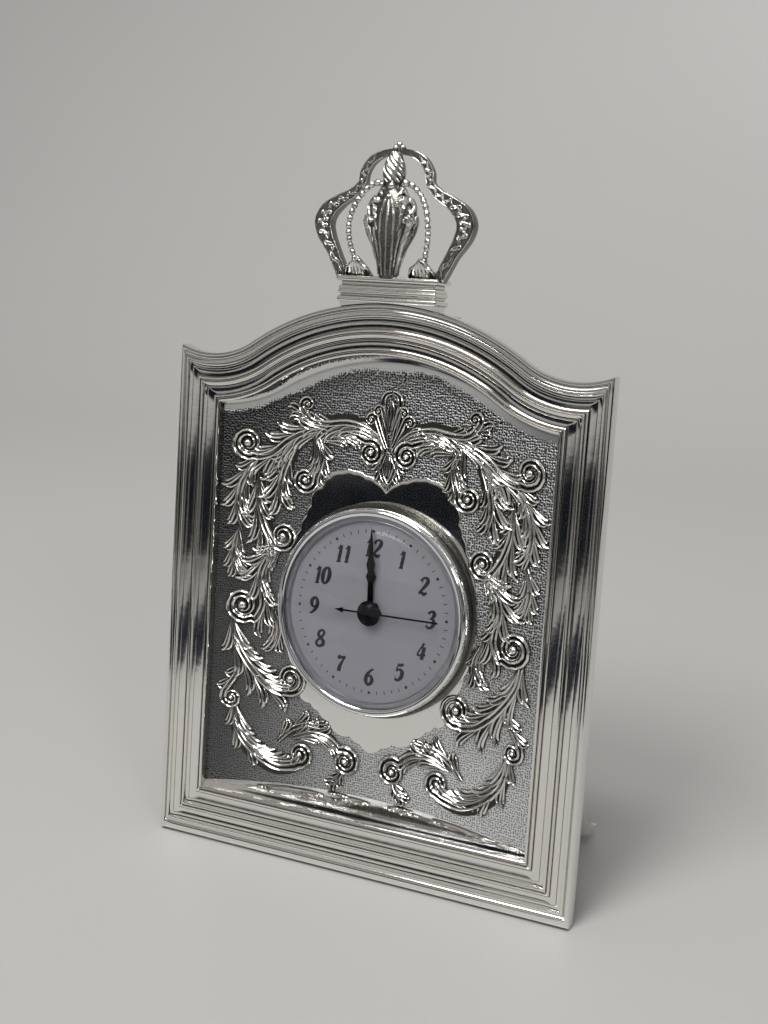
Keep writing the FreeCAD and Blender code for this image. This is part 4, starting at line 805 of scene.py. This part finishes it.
# Dial numbers as pen strokes in a box one unit high: x, z and half width
digits = {
    "1": [[(.10, .77, .02), (.22, .87, .045), (.31, .98, .07)],
          [(.33, 1.0, .06), (.31, .6, .075), (.29, .25, .075), (.28, .03, .06)],
          [(.14, .0, .03), (.28, .01, .04), (.42, .0, .03)]],
    "2": [[(.10, .76, .07), (.14, .9, .05), (.30, 1.0, .045), (.48, .92, .075), (.50, .74, .085),
           (.38, .5, .07), (.2, .25, .05), (.06, .04, .045)],
          [(.05, .04, .04), (.2, .11, .06), (.38, .02, .075), (.56, .12, .035)],
          [(.12, .76, .085), (.15, .77, .085)]],
    "3": [[(.08, .84, .06), (.2, .97, .04), (.38, .97, .07), (.46, .8, .085), (.36, .6, .055),
           (.22, .55, .03)],
          [(.22, .56, .03), (.42, .52, .065), (.52, .3, .09), (.42, .07, .065), (.2, .0, .045),
           (.06, .14, .06)], [(.09, .17, .085), (.12, .17, .085)]],
    "4": [[(.38, 1.0, .05), (.2, .65, .035), (.03, .3, .03)],
          [(.03, .27, .045), (.3, .26, .045), (.58, .3, .04)],
          [(.43, .78, .075), (.40, .35, .08), (.37, .0, .075)]],
    "5": [[(.17, .95, .03), (.14, .72, .035), (.12, .55, .04)],
          [(.16, .94, .055), (.32, .92, .07), (.52, 1.0, .045)],
          [(.12, .56, .04), (.3, .66, .05), (.5, .52, .085), (.49, .2, .085), (.3, .0, .055),
           (.1, .08, .06)], [(.10, .13, .085), (.13, .13, .085)]],
    "6": [[(.5, .98, .03), (.3, .85, .05), (.12, .55, .08), (.1, .25, .085), (.25, .0, .055),
           (.44, .08, .07), (.5, .3, .085), (.38, .54, .05), (.2, .5, .035), (.11, .36, .04)]],
    "7": [[(.08, .80, .045), (.12, .95, .07), (.3, .9, .06), (.5, .98, .04)],
          [(.52, 1.0, .03), (.36, .65, .05), (.25, .35, .08), (.23, .05, .09)]],
    "8": [[(.3, .52, .06), (.12, .68, .075), (.14, .9, .055), (.32, 1.0, .045), (.46, .88, .065),
           (.42, .68, .05), (.3, .54, .06), (.1, .34, .05), (.06, .14, .065), (.26, .0, .055),
           (.5, .12, .08), (.5, .32, .085), (.3, .52, .06)]],
    "9": [[(.1, .02, .03), (.3, .15, .05), (.48, .45, .08), (.5, .75, .085), (.35, 1.0, .055),
           (.16, .92, .07), (.1, .7, .085), (.22, .46, .05), (.4, .5, .035), (.49, .64, .04)]],
    "0": [[(.3, 1, .04), (.12, .8, .08), (.08, .45, .095), (.14, .12, .075), (.3, 0, .04),
           (.46, .2, .08), (.52, .55, .095), (.44, .88, .075), (.3, 1, .04)]],
}
printLook = {"height": 5.25, "radius": 20.4, "slant": 0.16, "bold": 1.5, "pitch": 0.52, "middle": 0.3,
             "thickness": 0.03, "lift": 0.015, "tick": 0.55, "tickRadius": 0.13}
# A five-minute mark: share of half its length and radius
markShape = ((-0.95, 0.12), (-0.8, 0.30), (-0.4, 0.46), (0.4, 0.46), (0.8, 0.30), (0.95, 0.12))


def makeNumbers():
    lines = []
    size = printLook["height"]
    for hour in range(1, 13):
        angle = math.radians(30 * hour)
        word = str(hour)
        centreX = printLook["radius"] * math.sin(angle)
        centreZ = printLook["radius"] * math.cos(angle)
        for place, letter in enumerate(word):
            shift = (place - (len(word) - 1) / 2) * printLook["pitch"] - printLook["middle"]
            for stroke in digits[letter]:
                spots = [(centreX + size * (x + shift + printLook["slant"] * (z - 0.5)),
                          centreZ + size * (z - 0.5)) for x, z, _ in stroke]
                radii = [size * wide * printLook["bold"] for _, _, wide in stroke]
                grown = []
                for low, high in zip(radii, radii[1:]):
                    grown += [low + (high - low) * step / 5 for step in range(5)]
                lines.append((smoothLine(spots, 5), grown + radii[-1:]))
    for minute in range(60):
        angle = math.radians(6 * minute)
        out = Vector((math.sin(angle), math.cos(angle)))
        track, tick = dialLook["track"], printLook["tick"]
        if minute % 5:
            lines.append(([out * (track - tick), out * (track + tick)],
                          [printLook["tickRadius"]] * 2))
        else:
            lines.append(([out * (track + 0.5 * far) for far, _ in markShape],
                          [radius for _, radius in markShape]))
    piece = ridgePiece(lines, onPlane, 2)
    for vertex in piece.data.vertices:
        flat = max(-1, min(1, -vertex.co.y * 3))
        vertex.co.y = -(dialLook["front"] + printLook["lift"] + printLook["thickness"] * flat)
    complete(piece, "dial_numbers", "ink", "clock", inClock, outward=False)


makeBezel()
makeCrystal()
makeDialPlate()
makeNumbers()

crown = {"top": 188.5, "half": 26.8, "rise": 37.8, "front": 2.5, "limb": 5.8, "deep": 4.4,
         "leafFront": 4.9, "leafHalf": 8.7, "leafDeep": 3.3, "leafSunk": 0.15}
# Outer arches: shares of half width, rise, limb width and depth
outerArch = [(0.600, -0.01, 0.60, 0.85), (0.745, 0.19, 0.62, 0.90), (0.850, 0.32, 0.86, 1.00),
             (0.885, 0.42, 1.00, 1.00), (0.830, 0.51, 0.92, 1.00), (0.690, 0.59, 0.66, 0.90),
             (0.540, 0.65, 0.50, 0.80), (0.425, 0.73, 0.42, 0.70), (0.400, 0.82, 0.46, 0.66),
             (0.320, 0.91, 0.44, 0.60), (0.180, 0.965, 0.34, 0.50), (0.020, 0.985, 0.30, 0.44)]
# The leaf: shares of rise, half width and depth
leafShape = [(0.00, 0.34, 0.62), (0.08, 0.38, 0.66), (0.18, 0.56, 0.80), (0.30, 0.86, 0.96),
             (0.42, 1.00, 1.00), (0.53, 0.88, 0.94), (0.62, 0.60, 0.80), (0.70, 0.34, 0.62),
             (0.745, 0.38, 0.60), (0.82, 0.40, 0.58), (0.90, 0.30, 0.48), (0.965, 0.16, 0.30)]


def between(table, share):
    # Values of a table of shares at a share of the height
    for low, high in zip(table, table[1:]):
        if share <= high[0]:
            part = max(0, (share - low[0]) / (high[0] - low[0]))
            return [a + (b - a) * part for a, b in zip(low[1:], high[1:])]
    return list(table[-1][1:])


def onLeaf(x, z, side=1):
    wide, deep = between(leafShape, z / crown["rise"])
    across = min(0.97, abs(x) / (wide * crown["leafHalf"]))
    bulge = deep * crown["leafDeep"] * math.sqrt(1 - across ** 2) - crown["leafSunk"]
    return Vector((x, crown["leafFront"] + side * bulge, crown["top"] + z))


# Strands of the crown's leaf, right half: x, height above the plinth, radius
leafStrokes = [
    [(0, 0.2, 0.5), (0, 8, 0.55), (0, 16, 0.6), (0, 22.5, 0.35)],
    [(1.3, 0.2, 0.4), (1.7, 6, 0.5), (2.2, 12, 0.6), (2.1, 18, 0.7), (1.0, 22.4, 0.6),
     (0.1, 24, 0.35)],
    [(2.7, 0.5, 0.5), (3.5, 5, 0.75), (4.9, 10, 0.95), (6.2, 13.4, 1.15), (6.9, 15.8, 1.75),
     (5.9, 16.8, 1.1), (5.0, 15.8, 0.7)],
    [(2.2, 3, 0.4), (3.0, 7.5, 0.55), (4.0, 11.5, 0.65), (4.6, 14.2, 0.6)],
    [(3.5, 13.5, 0.5), (4.2, 16.8, 0.75), (4.4, 19.6, 0.95), (5.0, 21.6, 1.55), (3.9, 22.8, 0.95),
     (3.2, 21.6, 0.5)],
    [(5.7, 17, 0.5), (6.8, 18.6, 0.75), (7.3, 20.4, 0.8), (6.4, 22.4, 0.8), (5.4, 23.0, 0.6)],
    [(7.4, 12.5, 0.4), (8.1, 15.3, 0.6), (8.1, 18, 0.6)],
    [(2.2, 23.4, 0.6), (3.2, 24.6, 0.75), (3.6, 25.4, 0.8), (2.6, 26.2, 0.7)],
    [(5.6, 22.6, 0.45), (4.4, 24.6, 0.6), (3.0, 26.4, 0.6)],
]
# Section of an outer arch: shares of its half width and half depth
bandSection = ((1, -0.7), (1, 0.7), (0.9, 0.92), (0.8, 0.78), (0, 0.7), (-0.8, 0.78),
               (-0.9, 0.92), (-1, 0.7), (-1, -0.7), (-0.8, -0.9), (0.8, -0.9))
# Scrolls chased on an arch: number, places kept clear at the tip, swing and length of each pair,
# and the course of one: share of its length, share of its swing, shift across
scrolls = {"count": 26, "clear": 5, "edgeRadius": 0.2, "pairs": ((0.8, 4.2), (0.25, 2.8)),
           "course": ((0.0, -1, 0), (0.35, -0.55, 0), (0.7, 0, 0.1), (1.0, 0.7, 0), (0.75, 0.95, 0),
                      (0.5, 0.6, 0))}
# The bud's twisted strands, the beads beside the neck (x, height, radius) and the ribs at the foot
# of the inner arch (spread, front, step back of each further rib, height, fall of each further rib)
bud = {"strands": 9, "steps": 12, "low": 0.735, "rise": 0.235, "twist": 0.55, "inset": 0.3}
neckBeads = ((3.6, 27.2, 0.95), (5.2, 27.3, 0.9), (6.8, 27.0, 0.8))
footFan = ((1.40, 1.9, 0.3, 0.3, 0), (1.15, 3.0, 0.2, 2.3, 0), (0.62, 3.9, 0.2, 4.8, 0.5))


def sweptPiece(rings):
    # A skin over open rings of points, with both ends filled
    piece = loopPiece(rings, closed=False)
    with editing():
        bpy.ops.mesh.fill_holes(sides=0)
    return piece


def archFrame(sign):
    # Points along an outer arch: centre, across, half width, half depth
    spots = [Vector((sign * x * crown["half"], crown["front"], crown["top"] + z * crown["rise"]))
             for x, z, _, _ in outerArch]
    line = smoothLine(spots, 8)
    result = []
    for index, spot in enumerate(line):
        place = index / (len(line) - 1) * (len(outerArch) - 1)
        low = min(int(place), len(outerArch) - 2)
        wide, deep = [outerArch[low][k] + (outerArch[low + 1][k] - outerArch[low][k])
                      * (place - low) for k in (2, 3)]
        ahead = line[min(index + 1, len(line) - 1)] - line[max(index - 1, 0)]
        across = Vector((ahead.z, 0, -ahead.x)).normalized() * sign
        result.append((spot, across, wide * crown["limb"] / 2, deep * crown["deep"] / 2))
    return result


def makeCrownArches():
    forward = Vector((0, 1, 0))
    for sign, name in ((-1, "left"), (1, "right")):
        stations = archFrame(sign)
        rings = []
        for spot, across, wide, deep in stations:
            ring = []
            for a, b in bandSection:
                x, front, z = spot + across * a * wide + forward * b * deep
                ring.append((x, -front, z))
            rings.append(ring)
        complete(sweptPiece(rings), "crown_band_" + name, "patinaAndShade", angle=35,
                 replaced=["crown_arch_" + name])
        stations = stations[:-9]
        last = len(stations) - 1
        strokes = [([spot + across * edge * wide + forward * 0.8 * deep
                     for spot, across, wide, deep in stations],
                    [scrolls["edgeRadius"]] * len(stations)) for edge in (-0.9, 0.9)]
        for turn in range(scrolls["count"]):
            base = 1 + turn * (last - scrolls["clear"]) / scrolls["count"]
            way = 1 if turn % 2 else -1
            for swing, lengths in scrolls["pairs"]:
                path, radii = [], []
                for share, part, shift in scrolls["course"]:
                    t = swing * part + shift
                    place = int(max(0, min(last, base + share * lengths)))
                    spot, across, wide, deep = stations[place]
                    path.append(spot + across * t * way * wide * 0.75 + forward * (0.74 * deep))
                    radii.append(wide * (0.11 + 0.07 * share))
                strokes.append((smoothLine(path, 3), [radii[min(i // 3, 5)] for i in range(16)]))
        complete(ridgePiece(strokes), "crown_scrolls_" + name, "crown", angle=60)


def makeCrownChasing():
    ridges = []
    top, leafFront = crown["top"], crown["leafFront"]
    for sign in (-1, 1):
        for stroke in leafStrokes:
            for side in (1, -1):
                line = smoothLine([onLeaf(sign * x, z, side) for x, z, _ in stroke], 4)
                radii = [stroke[min(i // 4, len(stroke) - 1)][2] for i in range(len(line))]
                ridges.append((line, radii))
        # Fan of ribs at the foot of the inner arch
        for rib in range(-3, 4):
            spread = abs(rib)
            x = sign * 0.4 * crown["half"]
            fan = [Vector((x + rib * wide, crown["front"] + front - spread * back,
                           top + z - spread * drop)) for wide, front, back, z, drop in footFan]
            ridges.append((smoothLine(fan, 4), [0.55] * 5 + [0.7] * 4))
        for x, z, radius in neckBeads:
            spot, half = Vector((sign * x, 5.6, top + z)), Vector((0.7 * sign, 0, 0))
            ridges.append(([spot - half, spot, spot + half], [radius * 0.6, radius, radius * 0.6]))
    # Bud of twisted strands
    for strand in range(bud["strands"]):
        path = []
        for step in range(bud["steps"] + 1):
            share = step / bud["steps"]
            rise = bud["low"] + bud["rise"] * share
            wide, deep = between(leafShape, rise)
            turn = 2 * math.pi * (strand / bud["strands"] + bud["twist"] * share)
            path.append(Vector((math.cos(turn) * (wide * crown["leafHalf"] - bud["inset"]),
                                leafFront + math.sin(turn) * (deep * crown["leafDeep"] - bud["inset"]),
                                top + rise * crown["rise"])))
        ridges.append((path, [0.45 + 0.35 * math.sin(math.pi * i / 12) for i in range(13)]))
    neck = Vector((0.2, 6.6, top + 26.7))
    ridges.append(([neck + Vector((0, 0, h)) for h in (-1.1, -0.7, 0, 0.7, 1.1)],
                   [0.5, 1.15, 1.4, 1.15, 0.5]))
    complete(ridgePiece(ridges), "crown_chasing", "crown", angle=60)


makeCrownArches()
makeCrownChasing()
frame["nodes"]["crown_base"].data.materials[0] = finishes["silver"]

setting = {"floor": (0.455, 0.45, 0.437), "wall": (0.42, 0.405, 0.40), "bendAt": 0.55,
           "bend": 0.5, "size": 4.65, "middle": -0.675, "aim": (0, 0, 0.11), "lampAim": (0, 0, 0.1)}
paints = {"card": (0.010, 0.012, 0.018), "pale": (0.92, 0.92, 0.90)}
# Cards out of view, as a silver piece is shot in a studio: place, size, paint
cards = {
    "cardFront": ((-0.62, -1.25, 0.12), (0.46, 0.15), "card"),
    "cardLeftNear": ((-0.50, 0.10, 0.16), (0.22, 0.30), "card"),
    "cardLeftFar": ((-0.55, -0.26, 0.16), (0.16, 0.30), "card"),
    "cardRightNear": ((0.44, -0.22, 0.16), (0.20, 0.30), "card"),
    "cardRightFar": ((0.26, -0.62, 0.16), (0.20, 0.30), "card"),
    "cardRightBack": ((0.62, 0.12, 0.20), (0.20, 0.36), "card"),
    "cardAbove": ((-0.45, 0.15, 1.2), (0.30, 1.3), "card"),
    "cardBehind": ((-0.80, -1.62, 0.46), (1.3, 0.36), "pale"),
    "cardLow": ((-0.26, -0.64, 0.012), (0.70, 0.50), "card"),
}
# Lamps: place, power, size, where they point
lamps = {
    "keyLight": ((-0.28, -0.95, 1.4), 16, 0.7, setting["lampAim"]),
    "fillLight": ((1.1, -0.9, 0.9), 4, 0.3, setting["lampAim"]),
    "wallLight": ((0.0, -0.4, 1.9), 21, 0.5, (-0.7, 1.3, 1.2)),
}
# Brightness of the surroundings from the horizon up
skyStops = ((0.0, 0.10), (0.035, 0.11), (0.055, 0.36), (0.11, 0.36), (0.15, 0.18), (0.30, 0.20),
            (0.55, 0.27), (0.8, 0.38), (1.0, 0.5))
view = {"spot": (0.187745, -0.36826, 0.229433), "forward": (-0.42741715, 0.86536715, -0.26163769),
        "up": (-0.11584688, 0.2345928, 0.96516616), "lens": 49.35, "sensor": 36, "near": 0.01}


def setFloor():
    freshStart()
    bpy.ops.mesh.primitive_grid_add(x_subdivisions=8, y_subdivisions=120, size=setting["size"],
                                    location=(0, setting["middle"], 0))
    bpy.ops.object.transform_apply(location=True)
    floor = bpy.context.object
    for vertex in floor.data.vertices:
        run = vertex.co.y - setting["bendAt"]
        if run > 0:
            arc = min(run / setting["bend"], math.pi / 2)
            rise = max(0, run - setting["bend"] * math.pi / 2)
            vertex.co.y = setting["bendAt"] + setting["bend"] * math.sin(arc)
            vertex.co.z = setting["bend"] * (1 - math.cos(arc)) + rise
    bpy.ops.object.shade_smooth()
    floor.name = "floor"
    paint = Finish("floorPaint", roughness=0.5)
    cloud = paint.noise(0.004, 2, paint.place(False))
    darker = tuple(c * 0.96 for c in setting["floor"])
    paint.set("color", paint.mix(cloud, setting["floor"], darker))
    floor.data.materials.append(paint.material)


def setCards():
    coats = {name: Finish(name + "Board", roughness=0.9, color=color, specular=0.0).material
             for name, color in paints.items()}
    for name, (spot, size, coat) in cards.items():
        bpy.ops.mesh.primitive_plane_add(size=1, location=spot)
        board = bpy.context.object
        board.name = name
        board.scale = (size[0], size[1], 1)
        aim = Vector(setting["aim"]) - Vector(spot)
        if name == "cardLow":  # lies flat on the floor
            aim = Vector((0, 0, 1))
        board.rotation_euler = aim.to_track_quat("Z", "Y").to_euler()
        board.data.materials.append(coats[coat])
        board.visible_camera = False
        board.visible_shadow = False
        board.visible_diffuse = False


def setWorld():
    world = bpy.data.worlds.new("studio")
    bpy.context.scene.world = world
    sky = Finish("studio", world)
    rise = sky.add("SeparateXYZ", None, {"Vector": sky.add("TexCoord")}, 2)
    stops = [(place, (level, level * 0.99, level * 0.975)) for place, level in skyStops]
    band = sky.add("ValToRGB", {"stops": stops}, {"Fac": rise})
    sky.feed(sky.shader.inputs["Color"], sky.mix(sky.add("LightPath"), band, setting["wall"]))


def setLamps():
    for name, (spot, energy, size, target) in lamps.items():
        bpy.ops.object.light_add(type="AREA", location=spot)
        lamp = bpy.context.object
        lamp.name = name
        lamp.data.energy, lamp.data.size = energy, size
        aim = Vector(target) - Vector(spot)
        lamp.rotation_euler = aim.to_track_quat("-Z", "Y").to_euler()


def setCamera():
    bpy.ops.object.camera_add(location=view["spot"])
    camera = bpy.context.object
    forward, up = Vector(view["forward"]), Vector(view["up"])
    right = forward.cross(up).normalized()
    camera.rotation_euler = Matrix((right, up, -forward)).transposed().to_euler()
    camera.data.lens = view["lens"]
    camera.data.sensor_width = view["sensor"]
    camera.data.clip_start = view["near"]
    bpy.context.scene.camera = camera


setFloor()
setCards()
setWorld()
setLamps()
setCamera()
print("stage set with", len(cards), "cards and", len(lamps), "lamps")
bpy.context.scene.view_settings.view_transform = "Standard"
freshStart()
